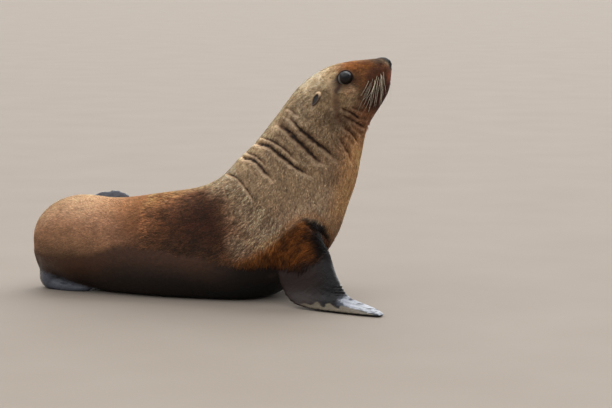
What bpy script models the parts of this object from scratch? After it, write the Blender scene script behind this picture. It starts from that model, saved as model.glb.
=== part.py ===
"""A young sea lion sitting up on its fore flippers, life size, in metres.

+X runs toward the head, +Z up and +Y to the animal's left. The flesh is modelled whole: a lofted
body, lofted limbs and a few swellings are fused, smoothed and cut flat where they rest on the
floor. It is then parted into its named pieces with thin gaps, and the eyes and ears are let in.
"""

from collections import namedtuple
from math import cos, pi, radians, sin

import bmesh
import bpy
import numpy as np
from mathutils import Matrix, Vector

# Driving dimensions
GAP = 0.0003
FUSE_VOXEL = 0.0045
FUSE_SMOOTH_STEPS = 7
TRUNK_SMOOTH_STEPS = 45
FLESH_TRIANGLES = 4656
HEAD_DETAIL = 0.002
BODY_RING_POINTS = 48
LIMB_RING_POINTS = 28
RINGS_PER_SPAN = 6
RUMP_CENTRE = (-0.338, 0.134)
RUMP_LENGTH = 0.150
RUMP_CAP_RINGS = 9
EYE_RADIUS = 0.0205
EYE_CENTRE = (0.3772, 0.0425, 0.5763)
EYE_SEGMENTS = (20, 12)
EAR_ROOT = (0.3075, 0.0740, 0.5400)
EAR_LENGTH = 0.040
EAR_RADIUS = 0.0085
EAR_SEGMENTS = (14, 10)
EAR_FLATNESS = 0.75
EAR_TAPER = 0.35
EAR_LEAN = radians(18.0)
EAR_SPLAY = radians(14.0)
EAR_DROP = 0.42
HEAD_PIVOT = (0.330, 0.460)
HEAD_PLANE_NORMAL = (0.6, 0.8)
HEAD_YAW = radians(9.0)
HEAD_YAW_START = -0.12
HEAD_YAW_SPAN = 0.16
TRUNK_BLEND = 0.05
FEET_TOP = 0.06
RAISED_FLIPPER = (-0.22, 0.118)
HEAD_COLLAPSE = 0.7
LIMB_SQUARENESS = (2.2, 2.0)
SWELLING_SEGMENTS = (32, 16)
FLOOR_BLOCK_MIDDLE = (0.0, 0.0, -0.5)
FLOOR_BLOCK_SIZE = (3.0, 3.0, 1.0)

# One cross-section of the body: its top and its underside in the middle plane, its half width,
# how square it is (2 is an ellipse) and how far its widest place lies below the middle.
Station = namedtuple("Station", "name top under half_width squareness sag")
BODY = (
    Station("hips", (-0.338, 0.256), (-0.338, 0.012), 0.112, 2.1, 0.05),
    Station("loin", (-0.250, 0.248), (-0.245, -0.012), 0.124, 2.2, 0.08),
    Station("belly", (-0.130, 0.264), (-0.120, -0.020), 0.142, 2.4, 0.12),
    Station("ribs", (-0.020, 0.283), (0.010, -0.024), 0.148, 2.5, 0.14),
    Station("withers", (0.045, 0.3145), (0.135, -0.020), 0.152, 2.4, 0.12),
    Station("shoulder", (0.094, 0.366), (0.262, 0.052), 0.153, 2.15, 0.04),
    Station("breast", (0.1345, 0.4035), (0.345, 0.150), 0.140, 2.1, 0.02),
    Station("neck_root", (0.170, 0.449), (0.378, 0.234), 0.124, 2.05, 0.00),
    Station("neck", (0.202, 0.490), (0.404, 0.305), 0.108, 2.0, 0.00),
    Station("nape", (0.234, 0.532), (0.418, 0.376), 0.094, 2.0, 0.02),
    Station("throat", (0.266, 0.566), (0.427, 0.430), 0.084, 2.0, 0.05),
    Station("crown", (0.306, 0.594), (0.441, 0.463), 0.076, 2.1, 0.08),
    Station("brow", (0.350, 0.612), (0.462, 0.495), 0.066, 2.2, 0.02),
    Station("stop", (0.391, 0.619), (0.475, 0.519), 0.052, 2.2, 0.02),
    Station("muzzle", (0.426, 0.622), (0.485, 0.537), 0.042, 2.3, 0.06),
    Station("snout", (0.453, 0.626), (0.489, 0.556), 0.037, 2.3, 0.06),
    Station("lips", (0.465, 0.628), (0.490, 0.569), 0.032, 2.3, 0.05),
    Station("nose", (0.478, 0.629), (0.493, 0.586), 0.024, 2.2, 0.00),
    Station("nose_tip", (0.487, 0.625), (0.493, 0.603), 0.013, 2.0, 0.00),
)

# One cross-section of a limb: the middles of its trailing and leading edges, its thickness and
# how much thinner the trailing edge is.
Slice = namedtuple("Slice", "trailing leading thickness taper")
RIGHT_FORE_LIMB = (
    Slice((0.150, -0.045, 0.215), (0.310, -0.055, 0.235), 0.100, 0.0),
    Slice((0.170, -0.096, 0.170), (0.335, -0.100, 0.190), 0.096, 0.1),
    Slice((0.205, -0.128, 0.120), (0.370, -0.135, 0.140), 0.080, 0.2),
    Slice((0.228, -0.140, 0.080), (0.389, -0.150, 0.095), 0.062, 0.3),
    Slice((0.243, -0.148, 0.048), (0.405, -0.158, 0.064), 0.050, 0.4),
    Slice((0.258, -0.163, 0.024), (0.421, -0.162, 0.040), 0.044, 0.5),
    Slice((0.290, -0.194, 0.010), (0.446, -0.160, 0.022), 0.036, 0.6),
    Slice((0.350, -0.221, 0.006), (0.471, -0.168, 0.014), 0.028, 0.6),
    Slice((0.418, -0.246, 0.005), (0.497, -0.186, 0.010), 0.021, 0.5),
    Slice((0.484, -0.267, 0.005), (0.522, -0.214, 0.007), 0.015, 0.4),
    Slice((0.530, -0.275, 0.005), (0.542, -0.254, 0.005), 0.011, 0.2),
)
LEFT_FORE_LIMB = (
    Slice((0.106, 0.045, 0.205), (0.284, 0.055, 0.225), 0.100, 0.0),
    Slice((0.116, 0.096, 0.160), (0.288, 0.100, 0.180), 0.096, 0.1),
    Slice((0.136, 0.132, 0.110), (0.292, 0.140, 0.130), 0.080, 0.2),
    Slice((0.146, 0.150, 0.070), (0.290, 0.160, 0.085), 0.062, 0.3),
    Slice((0.150, 0.166, 0.040), (0.286, 0.180, 0.055), 0.050, 0.4),
    Slice((0.146, 0.190, 0.018), (0.284, 0.208, 0.032), 0.044, 0.5),
    Slice((0.136, 0.222, 0.009), (0.274, 0.240, 0.018), 0.034, 0.6),
    Slice((0.126, 0.262, 0.006), (0.254, 0.284, 0.012), 0.027, 0.6),
    Slice((0.120, 0.306, 0.005), (0.228, 0.330, 0.009), 0.020, 0.5),
    Slice((0.122, 0.348, 0.005), (0.196, 0.368, 0.007), 0.015, 0.4),
    Slice((0.136, 0.380, 0.005), (0.166, 0.388, 0.005), 0.010, 0.2),
)
RIGHT_HIND_LIMB = (
    Slice((-0.400, -0.030, 0.120), (-0.330, -0.055, 0.120), 0.080, 0.0),
    Slice((-0.440, -0.016, 0.085), (-0.375, -0.048, 0.080), 0.064, 0.0),
    Slice((-0.462, 0.000, 0.052), (-0.408, -0.044, 0.044), 0.050, 0.1),
    Slice((-0.466, 0.012, 0.024), (-0.422, -0.050, 0.018), 0.042, 0.2),
    Slice((-0.444, 0.018, 0.010), (-0.398, -0.060, 0.010), 0.032, 0.2),
    Slice((-0.404, 0.014, 0.007), (-0.362, -0.070, 0.007), 0.024, 0.2),
    Slice((-0.366, 0.000, 0.005), (-0.328, -0.070, 0.005), 0.017, 0.1),
    Slice((-0.326, -0.020, 0.005), (-0.302, -0.066, 0.005), 0.012, 0.0),
)
LEFT_HIND_LIMB = (
    Slice((-0.420, 0.040, 0.110), (-0.340, 0.050, 0.130), 0.080, 0.0),
    Slice((-0.440, 0.082, 0.100), (-0.372, 0.096, 0.134), 0.056, 0.0),
    Slice((-0.448, 0.116, 0.120), (-0.372, 0.130, 0.138), 0.040, 0.1),
    Slice((-0.444, 0.140, 0.158), (-0.358, 0.146, 0.148), 0.030, 0.1),
    Slice((-0.432, 0.156, 0.194), (-0.330, 0.154, 0.166), 0.024, 0.1),
    Slice((-0.402, 0.168, 0.226), (-0.296, 0.162, 0.189), 0.018, 0.1),
    Slice((-0.358, 0.176, 0.245), (-0.272, 0.170, 0.210), 0.014, 0.1),
    Slice((-0.314, 0.180, 0.249), (-0.272, 0.176, 0.234), 0.011, 0.0),
)

# A rounded swelling: its middle, its half lengths along, across and through, and its pitch.
# A swelling off the middle plane is mirrored to the other side.
Swelling = namedtuple("Swelling", "name middle halves pitch")
SWELLINGS = (
    Swelling("tail", (-0.476, 0.0, 0.078), (0.040, 0.018, 0.013), -68.0),
    Swelling("haunch", (-0.330, 0.050, 0.115), (0.105, 0.070, 0.095), 10.0),
    Swelling("shoulder_blade", (0.190, 0.075, 0.235), (0.110, 0.080, 0.120), -35.0),
    Swelling("cheek", (0.388, 0.034, 0.530), (0.045, 0.034, 0.034), 45.0),
    Swelling("whisker_pad", (0.460, 0.019, 0.584), (0.029, 0.022, 0.027), 20.0),
    Swelling("orbit", (0.3772, 0.042, 0.5763), (0.027, 0.0165, 0.025), 30.0),
    Swelling("chin", (0.468, 0.0, 0.553), (0.022, 0.024, 0.014), 52.0),
    Swelling("brow_ridge", (0.374, 0.034, 0.598), (0.026, 0.014, 0.010), 16.0),
)

# A block that bounds one named piece: its middle, its size and its turn about Y.
Block = namedtuple("Block", "name middle size pitch")
PIECES = (
    Block("right_fore_flipper", (0.579, -0.308, -0.022), (0.600, 0.400, 0.500), 26.0),
    Block("left_fore_flipper", (0.509, 0.312, -0.022), (0.800, 0.400, 0.500), 26.0),
    Block("left_hind_flipper", (-0.381, 0.225, 0.180), (0.238, 0.180, 0.240), 0.0),
    Block("right_hind_flipper", (-0.420, -0.030, -0.060), (0.260, 0.160, 0.200), -15.0),
    Block("tail", (-0.5165, 0.000, 0.0645), (0.100, 0.042, 0.100), 22.0),
    Block("head", (0.4730, 0.000, 0.660), (0.500, 0.400, 0.440), 53.0),
    Block("neck", (0.488, 0.000, 0.566), (0.600, 0.600, 0.700), 45.0),
    Block("chest", (0.550, 0.000, 0.200), (1.000, 0.700, 1.200), 0.0),
    Block("abdomen", (0.250, 0.000, 0.200), (1.000, 0.700, 1.200), 0.0),
)

FUR = (0.30, 0.19, 0.12)
BARE_SKIN = (0.035, 0.028, 0.026)
EYE_COLOUR = (0.010, 0.008, 0.008)
EYE_ROUGHNESS = 0.08
BARE_SKIN_ROUGHNESS = 0.35
EAR_ROUGHNESS = 0.70
FUR_ROUGHNESS = 0.85
EAR_COLOUR = (0.20, 0.12, 0.08)


def clear_scene():
    for old in list(bpy.data.objects):
        bpy.data.objects.remove(old, do_unlink=True)


def new_collection(name):
    made = bpy.data.collections.new(name)
    bpy.context.scene.collection.children.link(made)
    return made


def add_object(name, mesh, collection):
    made = bpy.data.objects.new(name, mesh)
    collection.objects.link(made)
    return made


def mesh_from_bmesh(name, work):
    bmesh.ops.recalc_face_normals(work, faces=work.faces)
    mesh = bpy.data.meshes.new(name)
    work.to_mesh(mesh)
    work.free()
    return mesh


def loft(name, rings):
    """A closed tube through rings of equally many points, with a fan at either end."""
    work = bmesh.new()
    loops = []
    for ring in rings:
        loops.append([work.verts.new(point) for point in ring])
    for near, far in zip(loops, loops[1:]):
        for i in range(len(near)):
            j = (i + 1) % len(near)
            work.faces.new((near[i], near[j], far[j], far[i]))
    for end in (loops[0], loops[-1]):
        middle = work.verts.new(sum((v.co for v in end), Vector()) / len(end))
        for i in range(len(end)):
            work.faces.new((end[i], end[(i + 1) % len(end)], middle))
    return mesh_from_bmesh(name, work)


def squared(value, squareness):
    """A sine or cosine bent from an ellipse toward a rounded rectangle."""
    return np.sign(value) * abs(value) ** (2.0 / squareness)


def smooth_path(values, spans):
    """Catmull-Rom interpolation through rows of numbers, with a number of steps in each span."""
    rows = np.array(values, float)
    padded = np.vstack([2 * rows[0] - rows[1], rows, 2 * rows[-1] - rows[-2]])
    out = []
    for k in range(1, len(padded) - 2):
        before, start, end, after = padded[k - 1 : k + 3]
        for step in range(spans):
            t = step / spans
            linear = end - before
            square = 2 * before - 5 * start + 4 * end - after
            cube = 3 * start - before - 3 * end + after
            out.append(0.5 * (2 * start + linear * t + square * t**2 + cube * t**3))
    out.append(rows[-1])
    return np.array(out)


def head_turn(points):
    """Turns what lies ahead of the nape toward the animal's left, more the further forward it is."""
    points = np.array(points, float)
    share = np.clip((distance_ahead(points) - HEAD_YAW_START) / HEAD_YAW_SPAN, 0.0, 1.0)
    angle = HEAD_YAW * share * share * (3 - 2 * share)
    x = points[:, 0] - HEAD_PIVOT[0]
    y = points[:, 1].copy()
    points[:, 0] = HEAD_PIVOT[0] + x * np.cos(angle) - y * np.sin(angle)
    points[:, 1] = x * np.sin(angle) + y * np.cos(angle)
    return points


def body_ring(top, under, half_width, squareness, sag):
    middle = [(top[0] + under[0]) / 2, 0.0, (top[1] + under[1]) / 2]
    half = [(top[0] - under[0]) / 2, 0.0, (top[1] - under[1]) / 2]
    ring = []
    for i in range(BODY_RING_POINTS):
        angle = 2 * pi * i / BODY_RING_POINTS
        height = squared(cos(angle), squareness)
        width = squared(sin(angle), squareness) * half_width * (1.0 - sag * height)
        ring.append([middle[0] + half[0] * height, width, middle[2] + half[2] * height])
    return ring


def body_mesh():
    rows = [[*s.top, *s.under, s.half_width, s.squareness, s.sag] for s in BODY]
    hips = BODY[0]
    rings = []
    for i in range(1, RUMP_CAP_RINGS):
        angle = (1 - i / RUMP_CAP_RINGS) * pi / 2
        scale = cos(angle)
        x = RUMP_CENTRE[0] - RUMP_LENGTH * sin(angle)
        top = RUMP_CENTRE[1] + (hips.top[1] - RUMP_CENTRE[1]) * scale
        under = RUMP_CENTRE[1] + (hips.under[1] - RUMP_CENTRE[1]) * scale
        width = hips.half_width * scale
        rings.append(body_ring((x, top), (x, under), width, hips.squareness, hips.sag))
    for row in smooth_path(rows, RINGS_PER_SPAN):
        rings.append(body_ring(row[0:2], row[2:4], *row[4:7]))
    return loft("body", [head_turn(ring) for ring in rings])


def limb_mesh(name, slices):
    rows = [[*s.trailing, *s.leading, s.thickness, s.taper] for s in slices]
    path = smooth_path(rows, RINGS_PER_SPAN)
    middles = (path[:, 0:3] + path[:, 3:6]) / 2
    along = np.gradient(middles, axis=0)
    rings = []
    for row, middle, forward in zip(path, middles, along):
        across = (row[3:6] - row[0:3]) / 2
        through = np.cross(forward, across)
        through = through / np.linalg.norm(through)
        ring = []
        for i in range(LIMB_RING_POINTS):
            angle = 2 * pi * i / LIMB_RING_POINTS
            lead = squared(cos(angle), LIMB_SQUARENESS[0])
            thinning = 1 - row[7] * (1 - lead) / 2
            rise = squared(sin(angle), LIMB_SQUARENESS[1]) * row[6] / 2 * thinning
            ring.append(middle + across * lead + through * rise)
        rings.append(ring)
    return loft(name, rings)


def swelling_mesh(swelling, side):
    work = bmesh.new()
    u_segments, v_segments = SWELLING_SEGMENTS
    bmesh.ops.create_uvsphere(work, u_segments=u_segments, v_segments=v_segments, radius=1.0)
    turn = Matrix.Rotation(-radians(swelling.pitch), 4, "Y")
    size = Matrix.Diagonal((*swelling.halves, 1.0))
    x, y, z = swelling.middle
    bmesh.ops.transform(work, verts=work.verts, matrix=Matrix.Translation((x, y * side, z)) @ turn @ size)
    points = head_turn([v.co for v in work.verts])
    for vert, point in zip(work.verts, points):
        vert.co = point
    return mesh_from_bmesh(swelling.name, work)


def evaluated_mesh(source):
    graph = bpy.context.evaluated_depsgraph_get()
    return bpy.data.meshes.new_from_object(source.evaluated_get(graph))


def apply_modifiers(target):
    bpy.context.view_layer.update()
    baked = evaluated_mesh(target)
    target.modifiers.clear()
    target.data = baked


def remove(target):
    bpy.data.objects.remove(target, do_unlink=True)


def distance_ahead(points):
    """How far points lie in front of a plane through the nape and the throat."""
    return (points[:, (0, 2)] - HEAD_PIVOT) @ HEAD_PLANE_NORMAL


def group_by(target, name, weights):
    group = target.vertex_groups.new(name=name)
    for index, weight in enumerate(weights):
        group.add([index], float(weight), "REPLACE")
    return group.name


def trunk_share(points):
    """1 on the trunk and neck, 0 on the head, the feet and the raised hind flipper."""
    behind_head = np.clip(-distance_ahead(points) / TRUNK_BLEND, 0, 1)
    above_feet = np.clip((points[:, 2] - FEET_TOP) / TRUNK_BLEND, 0, 1)
    raised = (points[:, 0] < RAISED_FLIPPER[0]) & (points[:, 1] > RAISED_FLIPPER[1])
    return behind_head * above_feet * ~raised


def fuse(meshes, collection):
    """Joins closed meshes into one smooth skin, with the limbs blended into the trunk."""
    work = bmesh.new()
    for mesh in meshes:
        work.from_mesh(mesh)
    joined = bpy.data.meshes.new("flesh")
    work.to_mesh(joined)
    work.free()
    flesh = add_object("flesh", joined, collection)
    remesh = flesh.modifiers.new("fuse", "REMESH")
    remesh.mode = "VOXEL"
    remesh.voxel_size = FUSE_VOXEL
    smooth = flesh.modifiers.new("smooth", "SMOOTH")
    smooth.factor = 0.5
    smooth.iterations = FUSE_SMOOTH_STEPS
    apply_modifiers(flesh)
    points = np.array([v.co for v in flesh.data.vertices])
    blend = flesh.modifiers.new("blend", "SMOOTH")
    blend.factor = 0.5
    blend.iterations = TRUNK_SMOOTH_STEPS
    blend.vertex_group = group_by(flesh, "trunk", trunk_share(points))
    apply_modifiers(flesh)
    flesh.vertex_groups.clear()
    return flesh


def coarsen(flesh):
    """Fewer triangles, with more of them kept on the head."""
    points = np.array([v.co for v in flesh.data.vertices])
    collapsible = np.where(distance_ahead(points) < 0, 1.0, HEAD_COLLAPSE)
    decimate = flesh.modifiers.new("coarsen", "DECIMATE")
    decimate.vertex_group = group_by(flesh, "collapsible", collapsible)
    decimate.vertex_group_factor = HEAD_DETAIL
    decimate.use_collapse_triangulate = True
    decimate.ratio = FLESH_TRIANGLES / (2 * len(flesh.data.polygons))
    apply_modifiers(flesh)
    flesh.vertex_groups.clear()


def box_object(name, middle, size, pitch, collection, grow=0.0):
    work = bmesh.new()
    bmesh.ops.create_cube(work, size=1.0)
    scale = Matrix.Diagonal((size[0] + grow, size[1] + grow, size[2] + grow, 1.0))
    turn = Matrix.Rotation(-radians(pitch), 4, "Y")
    bmesh.ops.transform(work, verts=work.verts, matrix=Matrix.Translation(middle) @ turn @ scale)
    made = add_object(name, mesh_from_bmesh(name, work), collection)
    made.hide_render = True
    made.display_type = "WIRE"
    return made


def boolean(target, cutter, operation):
    cut = target.modifiers.new("cut", "BOOLEAN")
    cut.operation = operation
    cut.solver = "EXACT"
    cut.object = cutter
    apply_modifiers(target)


def carve(rest, block, parts, cutters):
    """Takes what lies in the block out of the rest as its own piece, a gap away from it."""
    piece = add_object(block.name, rest.data.copy(), parts)
    inner = box_object(block.name + "_inner", *block[1:], cutters, -GAP)
    outer = box_object(block.name + "_outer", *block[1:], cutters, GAP)
    boolean(piece, inner, "INTERSECT")
    boolean(rest, outer, "DIFFERENCE")
    remove(inner)
    remove(outer)
    return piece


def sphere_object(name, middle, radius, collection):
    work = bmesh.new()
    u_segments, v_segments = EYE_SEGMENTS
    bmesh.ops.create_uvsphere(work, u_segments=u_segments, v_segments=v_segments, radius=radius)
    bmesh.ops.transform(work, verts=work.verts, matrix=Matrix.Translation(middle))
    return add_object(name, mesh_from_bmesh(name, work), collection)


def ear_object(name, root, side, grow, collection):
    """A small ear: a tapering drop that hangs down and back from its root in the head."""
    work = bmesh.new()
    u_segments, v_segments = EAR_SEGMENTS
    bmesh.ops.create_uvsphere(work, u_segments=u_segments, v_segments=v_segments, radius=1.0)
    halves = (EAR_RADIUS * EAR_FLATNESS + grow, EAR_RADIUS + grow, EAR_LENGTH / 2 + grow)
    lean = Matrix.Rotation(EAR_LEAN, 4, "Y") @ Matrix.Rotation(-EAR_SPLAY * side, 4, "X")
    drop = Matrix.Translation((0.0, 0.0, -EAR_LENGTH * EAR_DROP))
    place = Matrix.Translation(root) @ lean @ drop @ Matrix.Diagonal((*halves, 1.0))
    bmesh.ops.transform(work, verts=work.verts, matrix=place)
    for vert in work.verts:
        along = (Vector(vert.co) - Vector(root)).length / EAR_LENGTH
        taper = 1.0 - EAR_TAPER * min(along, 1.0)
        vert.co.y = root[1] + (vert.co.y - root[1]) * taper
    return add_object(name, mesh_from_bmesh(name, work), collection)


def let_in(head, parts, cutters):
    """Sets the eyes and ears into sockets of the head."""
    made = []
    for side_name, side in (("right", -1), ("left", 1)):
        eye_at = head_turn([(EYE_CENTRE[0], EYE_CENTRE[1] * side, EYE_CENTRE[2])])[0]
        ear_at = head_turn([(EAR_ROOT[0], EAR_ROOT[1] * side, EAR_ROOT[2])])[0]
        socket = sphere_object("socket", eye_at, EYE_RADIUS + GAP, cutters)
        boolean(head, socket, "DIFFERENCE")
        remove(socket)
        pit = ear_object("pit", ear_at, side, GAP, cutters)
        boolean(head, pit, "DIFFERENCE")
        remove(pit)
        made.append(sphere_object(side_name + "_eye", eye_at, EYE_RADIUS, parts))
        made.append(ear_object(side_name + "_ear", ear_at, side, 0.0, parts))
    return made


def keep_largest(piece):
    """Drops crumbs that a cut leaves beside a piece."""
    work = bmesh.new()
    work.from_mesh(piece.data)
    left = set(work.verts)
    islands = []
    while left:
        island = {left.pop()}
        edge = list(island)
        while edge:
            vert = edge.pop()
            for link in vert.link_edges:
                other = link.other_vert(vert)
                if other in left:
                    left.discard(other)
                    island.add(other)
                    edge.append(other)
        islands.append(island)
    islands.sort(key=len)
    for island in islands[:-1]:
        bmesh.ops.delete(work, geom=list(island), context="VERTS")
    work.to_mesh(piece.data)
    work.free()


def add_material(target, colour, roughness):
    material = bpy.data.materials.new(target.name)
    material.use_nodes = True
    shader = material.node_tree.nodes["Principled BSDF"]
    shader.inputs["Base Color"].default_value = (*colour, 1.0)
    shader.inputs["Roughness"].default_value = roughness
    shader.inputs["Metallic"].default_value = 0.0
    target.data.materials.clear()
    target.data.materials.append(material)


def finish(pieces):
    """Colours the pieces and moves them so that the middle of the base is the origin."""
    corners = np.array([v.co for piece in pieces for v in piece.data.vertices])
    low = corners.min(axis=0)
    high = corners.max(axis=0)
    shift = Matrix.Translation((-(low[0] + high[0]) / 2, -(low[1] + high[1]) / 2, -low[2]))
    for piece in pieces:
        piece.data.transform(shift)
        if piece.name.endswith("_eye"):
            add_material(piece, EYE_COLOUR, EYE_ROUGHNESS)
        elif piece.name.endswith("_flipper"):
            add_material(piece, BARE_SKIN, BARE_SKIN_ROUGHNESS)
        elif piece.name.endswith("_ear"):
            add_material(piece, EAR_COLOUR, EAR_ROUGHNESS)
        else:
            add_material(piece, FUR, FUR_ROUGHNESS)
        for polygon in piece.data.polygons:
            polygon.use_smooth = True


def main():
    clear_scene()
    parts = new_collection("sea_lion")
    cutters = new_collection("cutters")
    meshes = [
        body_mesh(),
        limb_mesh("right_fore_limb", RIGHT_FORE_LIMB),
        limb_mesh("left_fore_limb", LEFT_FORE_LIMB),
        limb_mesh("right_hind_limb", RIGHT_HIND_LIMB),
        limb_mesh("left_hind_limb", LEFT_HIND_LIMB),
    ]
    for swelling in SWELLINGS:
        for side in (-1, 1) if swelling.middle[1] else (1,):
            meshes.append(swelling_mesh(swelling, side))
    flesh = fuse(meshes, parts)
    coarsen(flesh)
    floor = box_object("below_floor", FLOOR_BLOCK_MIDDLE, FLOOR_BLOCK_SIZE, 0.0, cutters)
    boolean(flesh, floor, "DIFFERENCE")
    remove(floor)
    pieces = [carve(flesh, block, parts, cutters) for block in PIECES]
    flesh.name = "rump"
    pieces.append(flesh)
    for piece in pieces:
        keep_largest(piece)
    head = next(piece for piece in pieces if piece.name == "head")
    pieces += let_in(head, parts, cutters)
    finish(pieces)


main()
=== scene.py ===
"""The looks of a young sea lion that sits up on its fore flippers: skin, coat, eyes, whiskers and stage.

Everything is in the row frame, in metres: the nose points along +X, the animal's left side is +Y and
the floor is z = 0.
"""

from collections import namedtuple

import bmesh
import bpy
import numpy as np
from bpy.props import FloatProperty, FloatVectorProperty, PointerProperty
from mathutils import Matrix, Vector, noise
from mathutils.bvhtree import BVHTree
from mathutils.kdtree import KDTree


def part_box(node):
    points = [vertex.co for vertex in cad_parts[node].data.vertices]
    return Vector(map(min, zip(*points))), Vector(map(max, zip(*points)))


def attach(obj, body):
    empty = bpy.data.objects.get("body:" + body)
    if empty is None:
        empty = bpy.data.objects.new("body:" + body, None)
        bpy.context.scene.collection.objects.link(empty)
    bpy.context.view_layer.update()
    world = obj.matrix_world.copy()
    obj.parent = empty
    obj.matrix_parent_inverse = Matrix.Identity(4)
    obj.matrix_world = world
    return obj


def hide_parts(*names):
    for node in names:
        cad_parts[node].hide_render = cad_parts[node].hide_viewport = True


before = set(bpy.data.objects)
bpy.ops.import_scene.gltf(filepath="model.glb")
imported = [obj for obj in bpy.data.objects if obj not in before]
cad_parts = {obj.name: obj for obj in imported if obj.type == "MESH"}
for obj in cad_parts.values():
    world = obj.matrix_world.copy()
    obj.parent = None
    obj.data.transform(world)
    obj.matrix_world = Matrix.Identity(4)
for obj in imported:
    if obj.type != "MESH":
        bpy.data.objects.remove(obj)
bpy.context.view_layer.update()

bl_info = {
    "name": "Sea lion",
    "version": (1, 0, 0),
    "blender": (4, 5, 0),
    "location": "3D View > Sidebar > Sea lion",
    "description": "Builds the skin, coat, eyes, whiskers and stage of a young sea lion",
    "category": "Object",
}

FLIPPERS = ("right_fore_flipper", "left_fore_flipper", "right_hind_flipper", "left_hind_flipper")
FLESH = ("head", "neck", "chest", "abdomen", "rump", "tail") + FLIPPERS
EYES = ("right_eye", "left_eye")
EARS = ("right_ear", "left_ear")
SKIN = "skin"

SEED = 11
MERGE = 1e-5
CORE_STEP = 0.02  # between the points of the core's curve
FULL_TURN = 2 * np.pi


def linear(hex_colour):
    """The linear red, green and blue of an sRGB hex colour."""
    shades = np.array([int(hex_colour[i : i + 2], 16) / 255 for i in (1, 3, 5)])
    return np.where(shades <= 0.04045, shades / 12.92, ((shades + 0.055) / 1.055) ** 2.4)


def smooth(values, low, high):
    """0 below low, 1 above high and an even S between them."""
    share = np.clip((values - low) / (high - low), 0, 1)
    return share * share * (3 - 2 * share)


def middle(name):
    """The middle of a CAD node's box."""
    low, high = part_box(name)
    return np.array((low + high) / 2)


def unit(vectors):
    """Vectors of the same direction, 1 long."""
    return vectors / np.maximum(np.linalg.norm(vectors, axis=-1, keepdims=True), 1e-12)


# The head's own axes: from just above the middle of the eyes, forward to the nose, across to the left eye,
# and up.
UP = np.array((0.0, 0.0, 1.0))
HEAD_ACROSS = unit(middle("left_eye") - middle("right_eye"))
HEAD_FORWARD = np.array((HEAD_ACROSS[1], -HEAD_ACROSS[0], 0.0))
HEAD_SHIFT = (0.0013, 0.0022)  # forward and up from the middle of the eyes
EYES_MIDDLE = (middle("right_eye") + middle("left_eye")) / 2
HEAD_MIDDLE = EYES_MIDDLE + HEAD_FORWARD * HEAD_SHIFT[0] + UP * HEAD_SHIFT[1]
HEAD_AXES = np.stack((HEAD_FORWARD, HEAD_ACROSS, UP))
BODY_MIDDLE_Y = -0.0575  # the trunk's middle plane


def in_head(points):
    """Points of the row frame as (forward, across, up) from the middle of the eyes."""
    return (np.asarray(points) - HEAD_MIDDLE) @ HEAD_AXES.T


def from_head(points):
    """Points from the middle of the eyes as points of the row frame."""
    return np.asarray(points) @ HEAD_AXES + HEAD_MIDDLE


def mirrored(path):
    """A path of the trunk on its other side."""
    path = np.array(path, float)
    path[:, 1] = 2 * BODY_MIDDLE_Y - path[:, 1]
    return path


# ------------------------------------------------------------------ the lie of the coat

# The body's core from the nose to the tail. Distance along it and offset from it straighten the body.
CORE = (
    (0.480, -0.040, 0.600),
    (0.400, -0.050, 0.585),
    (0.330, -0.055, 0.540),
    (0.285, BODY_MIDDLE_Y, 0.460),
    (0.262, BODY_MIDDLE_Y, 0.380),
    (0.225, BODY_MIDDLE_Y, 0.290),
    (0.160, BODY_MIDDLE_Y, 0.215),
    (0.060, BODY_MIDDLE_Y, 0.165),
    (-0.080, BODY_MIDDLE_Y, 0.140),
    (-0.250, BODY_MIDDLE_Y, 0.130),
    (-0.400, BODY_MIDDLE_Y, 0.130),
    (-0.520, BODY_MIDDLE_Y, 0.110),
)


def eased(path, step):
    """A Catmull-Rom curve through a path's points, as points about a step apart."""
    path = np.asarray(path, float)
    ends = np.concatenate(([2 * path[0] - path[1]], path, [2 * path[-1] - path[-2]]))
    made = []
    for a, b, c, d in zip(ends, ends[1:], ends[2:], ends[3:]):
        count = max(1, int(np.ceil(np.linalg.norm(c - b) / step)))
        t = (np.arange(count) / count)[:, None]
        curve = 2 * b + (c - a) * t
        curve = curve + (2 * a - 5 * b + 4 * c - d) * t**2 + (3 * b - a - 3 * c + d) * t**3
        made.append(0.5 * curve)
    return np.concatenate(made + [path[-1:]])


def straightened(points):
    """(distance along the core, offset across, offset above) and the core's direction to the tail."""
    core = eased(CORE, CORE_STEP)
    steps = np.diff(core, axis=0)
    lengths = np.linalg.norm(steps, axis=1)
    starts = np.concatenate(([0], np.cumsum(lengths)[:-1]))
    best = np.full(len(points), np.inf)
    along = np.zeros(len(points))
    toward = np.zeros_like(points)
    for begin, step, length, start in zip(core, steps, lengths, starts):
        share = np.clip((points - begin) @ step / length**2, 0, 1)
        gap = np.linalg.norm(points - begin - share[:, None] * step, axis=1)
        nearer = gap < best
        best[nearer] = gap[nearer]
        along[nearer] = (start + share * length)[nearer]
        toward[nearer] = step / length
    stations = np.concatenate((starts, [starts[-1] + lengths[-1]]))
    nearest = np.stack([np.interp(along, stations, core[:, axis]) for axis in range(3)], 1)
    across = unit(np.cross(toward, np.array((0.0, 1.0, 0.0))))
    offset = points - nearest
    return np.stack((along, offset[:, 1], np.einsum("ij,ij->i", offset, across)), 1), toward


# ------------------------------------------------------------------ where the coat is wet, worn or marked

# The height that the water reached along the flank, at stations along x.
WATERLINE = (
    (-0.52, 0.100), (-0.45, 0.095), (-0.38, 0.096), (-0.31, 0.105), (-0.27, 0.121), (-0.24, 0.134),
    (-0.20, 0.138), (-0.14, 0.137), (-0.09, 0.131), (0.00, 0.120), (0.08, 0.100), (0.14, 0.106),
    (0.27, 0.110), (0.36, 0.135),
)
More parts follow.
